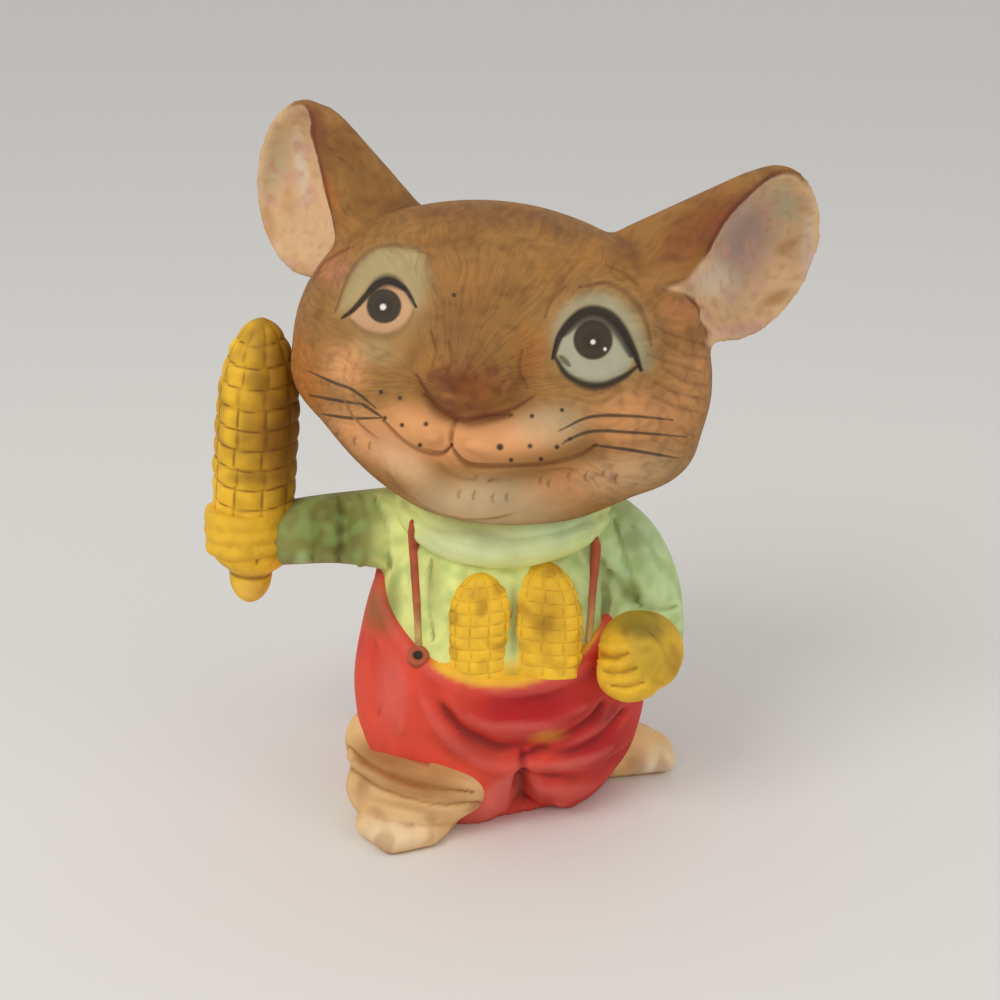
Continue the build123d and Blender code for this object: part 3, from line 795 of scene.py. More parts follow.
# Dabs of paint: coat, thickness, place and radii in pixels, and turn in degrees
HEAD_DABS = (
    ("fur_dark", 0.35, (480, 212), (190, 26), 3),
    ("fur_dark", 0.30, (470, 320), (50, 60), 0),
    ("cheek", 0.80, (303, 385), (34, 75), -8),
    ("cheek", 0.45, (330, 262), (26, 30), 0),
    ("lid", 0.55, (385, 300), (64, 60), 0),
    ("lid", 0.50, (602, 340), (80, 76), 0),
    ("cheek", 0.35, (530, 350), (30, 40), 0),
    ("lid", 0.40, (375, 352), (40, 22), 10),
    ("muzzle", 0.70, (345, 368), (34, 38), -10),
    ("muzzle", 0.95, (375, 440), (80, 36), 30),
    ("muzzle", 0.95, (420, 430), (58, 36), 22),
    ("muzzle", 0.95, (490, 440), (95, 36), -3),
    ("chin", 0.50, (552, 424), (60, 32), -8),
    ("chin", 0.85, (488, 506), (120, 42), -2),
    ("muzzle", 0.65, (588, 480), (90, 30), -10),
    ("chin", 0.45, (630, 472), (80, 34), -14),
    ("foot_pale", 0.35, (405, 465), (60, 24), 35),
    ("muzzle", 0.60, (640, 420), (76, 50), 0),
    ("muzzle", 0.35, (690, 380), (40, 60), 0),
    ("nose", 0.85, (468, 386), (60, 36), 5),
    ("ear_edge", 0.45, (446, 378), (30, 9), 14),
    ("ear_edge", 0.35, (470, 408), (36, 9), -4),
    # Painted highlight on the tip of the nose
    ("muzzle", 0.25, (449, 397), (10, 6), 30),
    ("fur_dark", 0.40, (448, 386), (16, 10), 20),
    ("ear_lobe", 0.70, (336, 270), (26, 22), -40),
    ("ear_lobe", 0.40, (682, 312), (30, 28), 0),
    ("fur_dark", 0.40, (603, 388), (40, 9), 0),
    ("ear_edge", 0.65, (316, 128), (16, 40), -14),
    ("fur_dark", 0.35, (345, 150), (30, 40), -30),
    # Painted highlight beside the edge of the right ear's fold
    ("cheek", 0.60, (332, 195), (9, 34), -20),
    ("ear_rust", 0.90, (698, 232), (78, 40), -42),
    ("ear_edge", 0.45, (722, 216), (60, 10), -48),
)
EAR_DABS = (
    ("ear_green", 0.60, (276, 165), (20, 50), 12),
    ("ear_pale", 0.80, (301, 165), (10, 60), -8),
    ("ear_tan", 0.65, (268, 228), (12, 34), -10),
    ("ear_tan", 0.55, (298, 266), (26, 10), 25),
    ("ear_tan", 0.40, (288, 206), (12, 16), 0),
    ("ear_grey", 0.75, (742, 238), (46, 78), 20),
    ("ear_pale", 0.60, (716, 280), (34, 26), 0),
    ("ear_green", 0.80, (785, 203), (22, 34), -20),
    ("ear_pale", 0.70, (808, 250), (9, 70), 2),
    ("ear_tan", 0.60, (786, 247), (20, 9), -30),
    ("ear_tan", 0.75, (776, 298), (26, 10), -24),
    ("ear_blush", 0.70, (745, 330), (56, 11), -6),
    ("ear_blush", 0.50, (808, 262), (8, 50), 4),
)


def head_matrix():
    """From the head's own frame to the figure's, in millimetres."""
    head = settings().head
    turn = Matrix.Rotation(head.yaw, 4, "Z") @ Matrix.Rotation(head.pitch, 4, "X")
    return Matrix.Translation(head.centre) @ turn @ Matrix.Rotation(head.roll, 4, "Y")


def ear_matrix(side):
    """From an ear's own frame to the head's: Z out of its mouth and Y to its tip."""
    head = settings().head
    turn = head.right_ear_turn if side < 0 else head.left_ear_turn
    out = Vector((side * math.sin(turn), -math.cos(turn), -math.sin(head.ear_lean)))
    out.normalize()
    up = (Vector((0, 0, 1)) - out * out.z).normalized()
    turn = Matrix((up.cross(out), up, out)).transposed().to_4x4()
    return Matrix.Translation(ear_place(side)) @ turn


def ear_place(side):
    """Middle of an ear's mouth in the head's frame."""
    head = settings().head
    return Vector(head.right_ear_at if side < 0 else head.left_ear_at)


def ear_rise(side, bearing):
    """How far an ear's rim is curled out of its mouth at a bearing from its tip to the forehead."""
    head = settings().head
    curl = head.right_ear_curl if side < 0 else head.left_ear_curl
    return curl * math.exp(-(((bearing - CURL_BEARING) / CURL_SPREAD) ** 2))


def curl_ear(bm, side):
    """Raise the front edge of an ear, draw its tip out a little, and set it on the head."""
    head = settings().head
    for vert in bm.verts:
        bearing = math.atan2(-side * vert.co.x, vert.co.y)
        share = math.hypot(vert.co.x, vert.co.y) / head.ear_radius
        vert.co.z += ear_rise(side, bearing) * share**2
        vert.co.xy *= 1 + TIP_DRAW * math.exp(-(((bearing - TIP_BEARING) / TIP_SPREAD) ** 2))
    bmesh.ops.transform(bm, matrix=ear_matrix(side), verts=bm.verts)


def add_ear(bm, hollow, side):
    """Add one ear's cup and the fold from its front edge to the forehead, and its hollow to a cutter."""
    head = settings().head
    reach, wall = head.ear_radius, head.ear_thickness
    shares = np.linspace(0, 1, CUP_STEPS)
    cup = [(reach * share, -(head.ear_depth + wall) * (1 - share**2) ** CUP_FULLNESS) for share in shares]
    cup += [(reach - inwards, up) for inwards, up in EAR_RIM]
    cup = spun([*cup, (0, EAR_RIM[-1][1])])
    curl_ear(cup, side)
    join(bm, cup)
    mouth = reach - 0.8 * wall
    space = [(mouth * share, -head.ear_depth * (1 - share**2) ** HOLLOW_FULLNESS) for share in shares]
    space = spun([*space, (mouth + 1, MOUTH_RISE), (0, MOUTH_RISE)])
    curl_ear(space, side)
    join(hollow, space)
    ring = reach - FOLD_KNOB
    rises = [(bearing, ear_rise(side, bearing) - FOLD_KNOB / 2) for bearing in FOLD_BEARINGS]
    rises += [(bearing, -FOLD_KNOB) for bearing in FOLD_BACK]
    knobs = []
    for bearing, rise in rises:
        spot = Vector((-side * ring * math.sin(bearing), ring * math.cos(bearing), rise))
        knobs.append((ear_matrix(side) @ spot, FOLD_KNOB))
    knobs += [(ear_place(side) + Vector(shift), radius) for shift, radius in FOLD_ROOTS[side]]
    join(bm, hull(knobs))
    ball(bm, head.right_lobe_at if side < 0 else head.left_lobe_at, LOBE_RADII)


def head_clay():
    """The whole head in its own frame, pressed into one skin, and the hollows of its ears."""
    head = settings().head
    bm = bmesh.new()
    ball(bm, (0, 0, 0), (head.skull_half_width, head.skull_radius, head.skull_radius))
    for middle, radii in FACE_LUMPS:
        for side in (-1, 1) if middle[0] else (1,):
            ball(bm, (side * middle[0], *middle[1:]), radii)
    bm = meld(bm, grain=1.0, rounds=9)
    for vert in bm.verts:
        vert.co.x *= 1 - JAW_TAPER * smooth(-5, -head.skull_radius, vert.co.z)
        vert.co.z -= HEAD_FLATTENING * smooth(0.5, 1, vert.co.z / head.skull_radius)
    for middle, radii in NOSE_LUMPS:
        ball(bm, middle, radii)
    hollow = bmesh.new()
    for side in (-1, 1):
        add_ear(bm, hollow, side)
    hollow = meld(hollow, grain=0.6, rounds=3)
    tree = BVHTree.FromBMesh(hollow)
    return meld(bm, grain=0.7, rounds=6, cutter=hollow), tree


def local_places(skin, matrix):
    """Places and outward directions of a skin in the frame that a matrix stands for."""
    back = np.array(matrix.inverted())
    return skin.co @ back[:3, :3].T + back[:3, 3], skin.normal @ back[:3, :3].T


def ear_inside(skin, hollows):
    """Weight of the pale insides of the ears, and of the dark edges where their folds begin."""
    head = settings().head
    local, _ = local_places(skin, head_matrix())
    gap = np.array([hollows.find_nearest(spot, 3.0)[3] or 3.0 for spot in local])
    inside = smooth(1.0, 0.45, gap)
    edge = np.zeros(len(gap))
    for side in (-1, 1):
        local, facing = local_places(skin, head_matrix() @ ear_matrix(side))
        ring = np.hypot(local[:, 0], local[:, 1])
        bearing = np.arctan2(-side * local[:, 0], local[:, 1])
        front = smooth(-0.1, 0.5, bearing) * smooth(2.6, 2.2, bearing) * (ring < head.ear_radius * 1.7)
        free = smooth(-0.1, -0.4, bearing) + smooth(2.75, 3.0, bearing)
        rim = smooth(head.ear_radius + 1.2, head.ear_radius + 0.2, ring) * smooth(3, 1.5, abs(local[:, 2]))
        inside = np.maximum(inside, rim * free * smooth(0.1, 0.4, facing[:, 2]))
        edge += front * smooth(0.3, 0.7, gap) * smooth(1.7, 1.0, gap)
    pinch = np.clip(skin.patch(EAR_PINCH, 3) * smooth(24, 21, np.hypot(*local[:, :2].T)), 0, 1)
    return np.maximum(inside, pinch), np.clip(edge, 0, 1) * (1 - pinch)


def relief(skin, strokes):
    """Height in millimetres of ridges and grooves along paths of pixels."""
    return sum(height * skin.line(path, width, core=0) for height, width, path in strokes)


def dab(skin, dabs, limit=1.0):
    """Lay soft dabs of paint over a skin."""
    for coat, thickness, middle, radii, turn in dabs:
        weight = skin.spot(middle, radii, turn, core=0.15)
        skin.tint(weight * thickness * limit, getattr(settings().paint, coat))


def stroke(skin, coat, strength, width, paths, core=0.1):
    """Draw thin strokes through pixels of the photograph."""
    for path in paths:
        skin.tint(skin.line(path, width, core=core) * strength, coat)


def draw_eye(skin, eye):
    """Paint one eye: lid, white, iris, glints and the drawn lid line."""
    coat = settings().paint
    skin.tint(skin.patch(eye["lid"], 8) * 0.75, getattr(coat, eye["lid_coat"]))
    skin.tint(skin.line(eye["crease"], 4) * 0.5, coat.fur_dark)
    white = skin.patch(eye["white"], 2.2)
    skin.tint(white, getattr(coat, eye["white_coat"]))
    radius = eye["iris_radius"]
    skin.tint(skin.spot(eye["iris"], (radius, radius), core=0.88) * white, coat.iris)
    skin.tint(skin.spot(eye["iris"], (radius * 0.6, radius * 0.6), core=0.5) * white * 0.6, coat.line)
    skin.tint(skin.line(eye["shadow"], eye["shadow_width"], core=0.3) * 0.85, coat.line)
    skin.tint(skin.line(eye["lower"], 7.0, core=0.15) * eye["lower_ink"], coat.line)
    skin.tint(skin.line(eye["lid_line"], eye["lid_width"], core=0.4) * 0.95, coat.line)
    for middle, reach in eye["glints"]:
        skin.tint(skin.spot(middle, (reach, reach), core=0.5), coat.glint)


def cheek_wrinkles():
    """Curved strokes down the cheek on the photograph's right."""
    left, top = CHEEK_WRINKLE_START
    for step in range(CHEEK_WRINKLES):
        height = top + CHEEK_WRINKLE_STEP * step
        sway = CHEEK_WRINKLE_SWAY * math.sin(step * 2.4)
        middle = (left + 22 + sway, height + 11 + sway / 3)
        yield ((left + sway, height), middle, (left + 50 + sway / 2, height + 18))


def chin_ticks():
    """Short upright ticks under the mouth."""
    for across, down in CHIN_TICKS:
        yield ((across, down), (across - 1, down - TICK / 2), (across + 1, down - TICK))


def paint_head(skin, inside, edge):
    """Paint the fur, the face and the ears."""
    coat = settings().paint
    skin.mottle(coat.cheek, 0.2, 7, 3, -0.2, 0.7)
    skin.mottle(coat.fur_dark, 0.3, 5, 8, -0.1, 0.7)
    dab(skin, HEAD_DABS)
    skin.mottle(coat.fur_dark, skin.flow[:, 2] * 0.26, 1.6, 12, 0.05, 0.5)
    skin.mottle(coat.ear_edge, skin.spot(*NOSE_TIP, core=0.5) * 0.5, 1.2, 14, 0.0, 0.5)
    skin.tint(inside, coat.ear_skin)
    dab(skin, EAR_DABS, inside)
    skin.mottle(coat.ear_blush, inside * 0.5, 3.0, 5, 0.1, 0.5)
    skin.mottle(coat.ear_tan, inside * 0.3, 1.3, 9, 0.1, 0.5)
    skin.wash(coat.fur_dark, (1 - inside) * 0.5, 14, 0.02, 0.25)
    for eye in EYES:
        draw_eye(skin, eye)
    skin.tint(edge * 0.8, coat.ear_edge)
    stroke(skin, coat.ear_edge, 0.6 * (1 - inside), 3.5, LOBE_CREASES)
    stroke(skin, coat.line, 0.7, 5, [TEAR_DUCT], core=0.2)
    stroke(skin, coat.ear_edge, 0.75, 6, [NOSE_LINE])
    stroke(skin, coat.fur_dark, 0.5, 3.4, (MOUTH_LEFT, MOUTH_RIGHT, PHILTRUM))
    stroke(skin, coat.fur_dark, 0.45, 3.2, BROW_STROKES)
    stroke(skin, coat.fur_dark, 0.3, 4, cheek_wrinkles(), core=0)
    stroke(skin, coat.line, 0.85, 2.6, WHISKERS, core=0.3)
    for middle, reach in DOTS:
        skin.tint(skin.spot(middle, (reach, reach), core=0.4) * 0.95, coat.line)
    stroke(skin, coat.fur_dark, 0.55, 2.4, chin_ticks())


def comb_head(skin, inside):
    """Lay the flow of the fur away from the nose, and leave the eyes, the muzzle and the ears bare."""
    local, _ = local_places(skin, head_matrix())
    reach = np.linalg.norm(local - np.array(FUR_START), axis=1)
    around = np.arctan2(local[:, 0], local[:, 2] + 4) * 22
    bare = sum(skin.spot(*oval, core=0.5) for oval in BARE_SPOTS) + inside
    bare += sum(skin.spot(eye["iris"], EYE_REACH, core=0.6) for eye in EYES)
    skin.flow = np.stack(
        (
            reach * 0.26 + skin.cloud(7, 6) * 0.6,
            around * 1.3 + skin.cloud(6, 4) * 2.2,
            np.clip(1 - bare, 0.04, 1),
        ),
        1,
    )


class MOUSE_OT_head(Operator):
    """Model the head with its nose and its ears"""

    bl_idname = "mouse.head"
    bl_label = "Head, nose and ears"

    def execute(self, context):
        clay, hollows = head_clay()
        bmesh.ops.transform(clay, matrix=head_matrix(), verts=clay.verts)
        skin = Skin(clay, settings().paint.fur)
        skin.refine(sum(skin.spot(*oval, core=0.9) for oval in FINE_SPOTS))
        fine = sum(skin.spot(eye["iris"], (60, 56), core=0.9) for eye in EYES)
        fine += sum(skin.line(path, 7) for path in (*WHISKERS, MOUTH_LEFT, MOUTH_RIGHT))
        fine += sum(skin.spot(middle, (7, 7), core=0.9) for middle, _ in DOTS)
        skin.refine(fine)
        rise = relief(skin, FACE_RELIEF) + relief(skin, [(-0.2, 6, path) for path in cheek_wrinkles()])
        for eye in EYES:
            rise += 0.5 * skin.patch(eye["white"], 9)
            rise -= 0.35 * skin.line(eye["lid_line"], 5, core=0) + 0.3 * skin.line(eye["crease"], 6, core=0)
        skin.push(rise)
        inside, edge = ear_inside(skin, hollows)
        comb_head(skin, inside)
        paint_head(skin, inside, edge)
        clay = skin.keep_paint()
        turn = head_matrix()
        for side, name in ((-1, "right_ear"), (1, "left_ear")):
            across, back, up = EAR_CUT_FACING
            out = Vector((side * across, back, up)).normalized()
            ear = cut_off(clay, turn @ (out * EAR_CUT), turn.to_3x3() @ out)
            piece(ear, name + "_bisque", name, fur_paint())
        front = Vector((0, -1, 0))
        nose = cut_off(clay, turn @ (front * NOSE_CUT), turn.to_3x3() @ front)
        piece(nose, "nose_bisque", "nose", fur_paint())
        piece(clay, "head_bisque", "head_casting", fur_paint())
        return {"FINISHED"}


# Body: stations of height, half width, half depth, turn about Z in degrees and set-back

BODY_STATIONS = (
    (0.0, 20.5, 12.8, 24.0, 4.0),
    (10.0, 22.6, 17.8, 15.0, 1.2),
    (24.0, 23.2, 19.0, 5.0, 0.0),
    (41.0, 18.6, 16.6, 0.0, 0.0),
    (56.0, 11.5, 10.5, 0.0, 0.0),
)
RING_POINTS = 72
RIGHT_ARM = ((-9, 0.5, 46.2), (-19, 0.8, 46.9), (-28, 1.7, 46.4), (-37, 3.0, 45.0), (-40.5, 3.2, 44.6))
RIGHT_ARM_RADII = (8.2, 6.6, 5.7, 5.2, 5.0)
LEFT_ARM = ((11.5, -0.5, 48.5), (18, -1.8, 45), (22, -4, 39), (23.6, -8.5, 33))
LEFT_ARM_RADII = (7.4, 7.3, 7.0, 6.0)
SLEEVE_CUTS = {
    "right_sleeve": ((-16.5, 0, 46.5), (-1, 0, 0.12)),
    "left_sleeve": ((16.2, -2, 45), (1, -0.25, 0.1)),
}
SWEATER_TUCK = 4.0  # how far the sweater goes down inside the trousers
COLLAR_STRETCH = 1.15  # height of the collar's roll over its thickness
COLLAR_TILT = math.radians(6)

# Pixels of the photograph where folds and edges of the clothes pass

WAIST_FOLD = (
    (431, 659), (439, 692), (456, 727), (487, 745), (507, 750), (538, 748), (569, 738), (592, 722),
    (604, 704),
)
KNEE_FOLD = ((523, 761), (543, 755), (574, 753), (604, 738), (625, 710))
HEM_FOLD = ((530, 776), (559, 778), (592, 774), (622, 757), (640, 735))
CROTCH_FOLD = ((523, 755), (523, 778), (518, 796))
INNER_LEG = ((524, 770), (508, 776), (488, 788), (456, 820), (484, 824), (508, 806), (523, 790))
WAIST_LIP = ((440, 655), (464, 674), (495, 683), (523, 684), (559, 679), (584, 670), (600, 664))
BRACE_LINES = (
    ((412, 522), (414, 550), (416, 585), (418, 620), (419, 650)),
    ((596, 538), (595, 560), (592, 590), (590, 620), (588, 640)),
)
BUTTON_PIXEL = (418, 656)
BRACE_DEPTH = 0.8  # half the thickness of a brace in millimetres

# Relief of the clothes: height in millimetres, width and path in pixels
SWEATER_RELIEF = (
    (-1.0, 9, ((340, 498), (345, 525), (338, 565))),
    (-0.5, 10, ((374, 496), (386, 530), (389, 568))),
    (0.6, 11, ((357, 496), (364, 530), (360, 566))),
    (-0.6, 7, ((312, 506), (316, 535), (310, 568))),
    (-0.8, 13, ((616, 518), (625, 555), (637, 600))),
    (-0.8, 13, ((608, 572), (622, 587), (640, 604))),
    (0.6, 12, ((634, 528), (648, 565), (656, 600))),
    (-0.5, 8, ((640, 606), (660, 609), (678, 606))),
    (-0.5, 9, ((430, 560), (427, 600), (433, 640))),
    (-0.5, 9, ((602, 560), (607, 590), (604, 620))),
)
COLLAR_RELIEF = (
    (-0.4, 8, ((402, 500), (426, 524), (468, 541), (515, 542), (565, 532), (610, 512))),
    (0.4, 12, ((402, 508), (430, 533), (475, 551), (520, 550), (565, 541), (610, 519))),
    (-0.4, 7, ((520, 552), (555, 547), (590, 534))),
)
TROUSER_RELIEF = (
    (-1.2, 14, WAIST_FOLD),
    (0.8, 15, ((420, 690), (440, 727), (470, 757), (505, 768), (545, 765))),
    (0.6, 16, ((470, 715), (505, 727), (550, 722), (585, 705))),
    (-1.0, 11, KNEE_FOLD),
    (0.6, 10, ((545, 765), (580, 763), (612, 747))),
    (-0.8, 9, HEM_FOLD),
    (0.6, 9, ((530, 788), (562, 790), (595, 785), (628, 768))),
    (-0.8, 10, CROTCH_FOLD),
    (-0.5, 14, ((372, 640), (382, 680), (377, 715))),
    (0.5, 14, ((400, 650), (405, 690), (402, 730))),
)

# Relief down to the floor: the notch between the legs, and the legs on both sides of it
LEG_RELIEF = (
    (-2.0, 16, ((523, 774), (523, 786), (523, 800))),
    (-3.0, 22, ((524, 796), (524, 806), (526, 822))),
    (1.8, 30, ((556, 796), (575, 794), (598, 786), (616, 774))),
    (1.4, 24, ((452, 818), (474, 812), (494, 802))),
)

# Dabs of paint on the clothes, as on the head
SWEATER_DABS = (
    ("sweater_mint", 0.9, (640, 560), (60, 90), 0),
    ("sweater_fold", 0.95, (335, 530), (56, 48), 0),
    ("line", 0.40, (341, 532), (9, 40), 0),
    ("sweater_mint", 0.8, (303, 562), (12, 16), 0),
    ("sweater_fold", 0.85, (630, 592), (20, 16), 35),
    ("sweater_fold", 0.20, (640, 560), (14, 50), -20),
    ("sweater_fold", 0.35, (435, 585), (14, 60), 0),
    ("sweater_fold", 0.45, (514, 620), (60, 60), 0),
    ("corn", 0.95, (516, 674), (76, 20), 0),
    ("corn_wash_and_shade", 0.70, (514, 620), (6, 50), 0),
    ("sweater_fold", 0.40, (395, 600), (12, 40), 0),
)
COLLAR_DABS = (
    ("sweater_mint", 0.9, (560, 525), (80, 40), 0),
    # Painted light on the crest of the collar, lifting the shade under the chin
    ("collar_painted_light", 0.6, (480, 545), (110, 30), 0),
    ("sweater_mint", 0.35, (480, 540), (130, 40), 0),
    ("sweater_fold", 0.35, (480, 535), (60, 8), 8),
)
TROUSER_DABS = (
    ("trousers_rose", 0.95, (525, 712), (105, 46), -4),
    ("trousers_rose", 0.80, (600, 745), (60, 50), -20),
    # Painted shade in the big fold
    ("trousers_fold", 0.45, (470, 750), (60, 20), 15),
    # Painted highlights on the ridges of the folds
    ("trousers_pink", 0.55, (392, 690), (24, 60), 0),
    ("trousers_pink", 0.55, (575, 762), (46, 7), -14),
    ("trousers_pink", 0.45, (560, 790), (60, 9), -5),
    ("trousers_pink", 0.40, (520, 726), (60, 7), 0),
    ("corn", 0.40, (548, 736), (28, 9), -8),
    # Painted shade in the fold at the knee
    ("trousers_fold", 0.55, (605, 715), (26, 12), -30),
    ("sweater_fold", 0.60, (376, 606), (30, 46), -20),
)


def body_rings(growth, low, high):
    """Rings of the body between two heights, grown outwards."""
    rings = []
    for height, width, depth, turn, back in smooth_path(BODY_STATIONS, 9):
        if low <= height <= high:
            around = np.linspace(0, math.tau, RING_POINTS, endpoint=False)
            local = around - math.radians(turn)
            reach = 1 / np.hypot(np.cos(local) / (width + growth), np.sin(local) / (depth + growth))
            level = np.full(RING_POINTS, height)
            rings.append(np.stack((reach * np.cos(around), back + reach * np.sin(around), level), 1))
    return rings


def waist_rise(points):
    """Height of the waistband's edge over places in millimetres."""
    body = settings().body
    across = np.clip(points[:, 0], -BODY_STATIONS[2][1], BODY_STATIONS[2][1])
    dip = body.waist_dip - np.sqrt(body.waist_dip**2 - across**2)
    return body.waist_height + points[:, 1] * math.tan(body.waist_slope) + dip / math.cos(body.waist_slope)


def cut_at_waist(bm, offset, keep_above):
    """Cut a skin along the waistband's edge, moved up by an offset, and close it."""
    rise = waist_rise(np.array([vert.co for vert in bm.verts]))
    for vert, height in zip(bm.verts, rise):
        vert.co.z -= height
    seam = cut(bm, (0, 0, offset), (0, 0, 1), keep_above)
    cap = bmesh.ops.edgeloop_fill(bm, edges=seam)["faces"]
    bmesh.ops.triangulate(bm, faces=cap)
    rise = waist_rise(np.array([vert.co for vert in bm.verts]))
    for vert, height in zip(bm.verts, rise):
        vert.co.z += height


class Target:
    """A finished skin that other pieces are seated on, seen from the photograph's camera."""

    def __init__(self, skin):
        self.tree = BVHTree.FromBMesh(skin.bm)

    def under(self, pixel):
        """Place and outward direction of the skin under a pixel of the photograph, or None twice."""
        stage = settings().stage
        across = (pixel[0] - FRAME_SIDE / 2) / stage.focal
        up = (FRAME_SIDE / 2 - pixel[1]) / stage.focal
        rise, level = math.sin(stage.elevation), math.cos(stage.elevation)
        ray = Vector((across, level + up * rise, up * level - rise)).normalized()
        return self.tree.ray_cast(Vector(camera_place()), ray)[:2]


SEATS = {}


def seat(pixel, *names):
    """Place and outward direction of the foremost of some finished skins under a pixel."""
    found = [SEATS[name].under(pixel) for name in names]
    found = [hit for hit in found if hit[0]]
    if not found:
        raise ValueError(f"no clay under pixel {pixel}")
    return min(found, key=lambda hit: (hit[0] - Vector(camera_place())).length)


class MOUSE_OT_sweater(Operator):
    """Model the sweater with both sleeves"""

    bl_idname = "mouse.sweater"
    bl_label = "Sweater and sleeves"

    def execute(self, context):
        coat = settings().paint
        bm = bmesh.new()
        loft(bm, body_rings(0, 20, 56))
        cut_at_waist(bm, -SWEATER_TUCK, keep_above=True)
        limb(bm, RIGHT_ARM, RIGHT_ARM_RADII)
        limb(bm, LEFT_ARM, LEFT_ARM_RADII)
        bm = meld(bm, grain=0.55, rounds=8)
        skin = Skin(bm, coat.sweater)
        skin.push(skin.cloud(6, 1) * 0.2 + relief(skin, SWEATER_RELIEF))
        skin.tint(smooth(4, 16, skin.co[:, 0]) * 0.8, coat.sweater_mint)
        skin.tint(smooth(-17, -24, skin.co[:, 0]) * 0.8, coat.sweater_fold)
        dab(skin, SWEATER_DABS)
        # Olive in the hollows: a thin wash, and painted shade in the folds of the sweater
        skin.wash(coat.sweater_fold, 0.7, 16, 0.05, 0.3)
        skin.mottle(coat.sweater_fold, 0.35, 5, 9, 0.2, 0.7)
        skin.mottle(coat.sweater_green, 0.45, 2.2, 11, -0.2, 0.5)
        SEATS["sweater"] = Target(skin)
        clay = skin.keep_paint()
        for name, (point, out) in SLEEVE_CUTS.items():
            arm = cut_off(clay, Vector(point), Vector(out))
            piece(arm, name + "_bisque", name, cloth_paint())
        piece(clay, "sweater_bisque", "sweater_casting", cloth_paint())
        return {"FINISHED"}


class MOUSE_OT_collar(Operator):
    """Model the rolled collar"""

    bl_idname = "mouse.collar"
    bl_label = "Collar"

    def execute(self, context):
        coat = settings().paint
        body = settings().body
        bm = bmesh.new()
        verts = bmesh.ops.create_circle(bm, segments=40, radius=body.collar_roll)["verts"]
        for vert in verts:
            vert.co = (body.collar_radius + vert.co.x, 0, vert.co.y * COLLAR_STRETCH)
        bmesh.ops.spin(
            bm,
            geom=bm.verts[:] + bm.edges[:],
            cent=(0, 0, 0),
            axis=(0, 0, 1),
            angle=math.tau,
            steps=200,
            use_merge=True,
        )
        bmesh.ops.remove_doubles(bm, verts=bm.verts, dist=0.001)
        bmesh.ops.recalc_face_normals(bm, faces=bm.faces)
        tilt = Matrix.Translation(body.collar_at) @ Matrix.Rotation(COLLAR_TILT, 4, "X")
        bmesh.ops.transform(bm, matrix=tilt, verts=bm.verts)
        skin = Skin(bm, coat.sweater)
        skin.push(skin.cloud(7, 4) * 0.4 + relief(skin, COLLAR_RELIEF))
        dab(skin, COLLAR_DABS)
        # Olive in the hollows: a thin wash, and painted shade in the folds of the collar
        skin.wash(coat.sweater_fold, 0.4, 16, 0.03, 0.25)
        skin.mottle(coat.sweater_fold, 0.2, 4, 6, 0.2, 0.7)
        SEATS["collar"] = Target(skin)
        piece(skin.keep_paint(), "collar_bisque", "collar_roll", cloth_paint())
        return {"FINISHED"}


class MOUSE_OT_trousers(Operator):
    """Model the trousers with their folds and the vent in their floor"""

    bl_idname = "mouse.trousers"
    bl_label = "Trousers"

    def execute(self, context):
        coat = settings().paint
        body = settings().body
        bm = bmesh.new()
        loft(bm, body_rings(body.cloth, -1, 50))
        cut_at_waist(bm, 0, keep_above=False)
        reach, deep = body.vent_radius, body.vent_depth
        vent = spun(((0, -1), (reach, -1), (reach, deep), (0, deep)))
        bmesh.ops.translate(vent, vec=(0, body.vent_back, 0), verts=vent.verts)
        bm = meld(bm, grain=0.55, rounds=3, cutter=vent)
        skin = Skin(bm, coat.trousers)
        above = smooth(2, 8, skin.co[:, 2])
        drop = waist_rise(skin.co) - skin.co[:, 2]
        band = smooth(2.6, 1.6, drop) * smooth(-0.4, 0.4, drop)
        folds = relief(skin, TROUSER_RELIEF) * smooth(3, 7, drop)
        lip = skin.line(WAIST_LIP, 16, core=0.3) * smooth(5, 1.5, drop) * 0.9
        skin.push(above * (skin.cloud(9, 2) * 0.4 + folds) + band * 0.3 + lip + relief(skin, LEG_RELIEF))
        even_out(skin.bm, skin.bm.verts, 2)
        skin.read()
        across = skin.co[:, 0]
        skin.mottle(coat.trousers_rose, 0.5, 8, 5, 0.0, 0.7)
        skin.tint(smooth(-6, 16, across) * 0.5, coat.trousers_rose)
        dab(skin, TROUSER_DABS)
        # Painted shade: dark red laid in the hollows of the folds
        skin.wash(coat.trousers_fold, 0.75, 18, 0.04, 0.35)
        # Painted highlight: pink where the clay stands out on the ridges of the folds
        skin.tint(smooth(0.02, 0.3, -skin.hollows(18)) * 0.35, coat.trousers_pink)
        skin.tint(skin.patch(INNER_LEG, 4) * 0.75, coat.trousers_pink)
        # Painted shade: a dark line in the crotch fold
        skin.tint(skin.line(CROTCH_FOLD, 7, core=0) * 0.45, coat.line)
        front = smooth(-12, -9, across) * smooth(17, 14, across) * smooth(0, -6, skin.co[:, 1])
        skin.tint(front * smooth(0.6, 0.0, drop) * 0.9, coat.corn)
        opening = skin.near((0, body.vent_back, 0), (reach * 1.1, reach * 1.1, deep * 1.3), 0.9)
        skin.tint(opening * 0.9, coat.bare_clay)
        flat = skin.co[:, 2] < 0.25
        skin.co[flat, 2] = 0
        skin.move(np.zeros_like(skin.co))
        SEATS["trousers"] = Target(skin)
        piece(skin.keep_paint(), "trousers_bisque", "trousers_casting", cloth_paint())
        return {"FINISHED"}


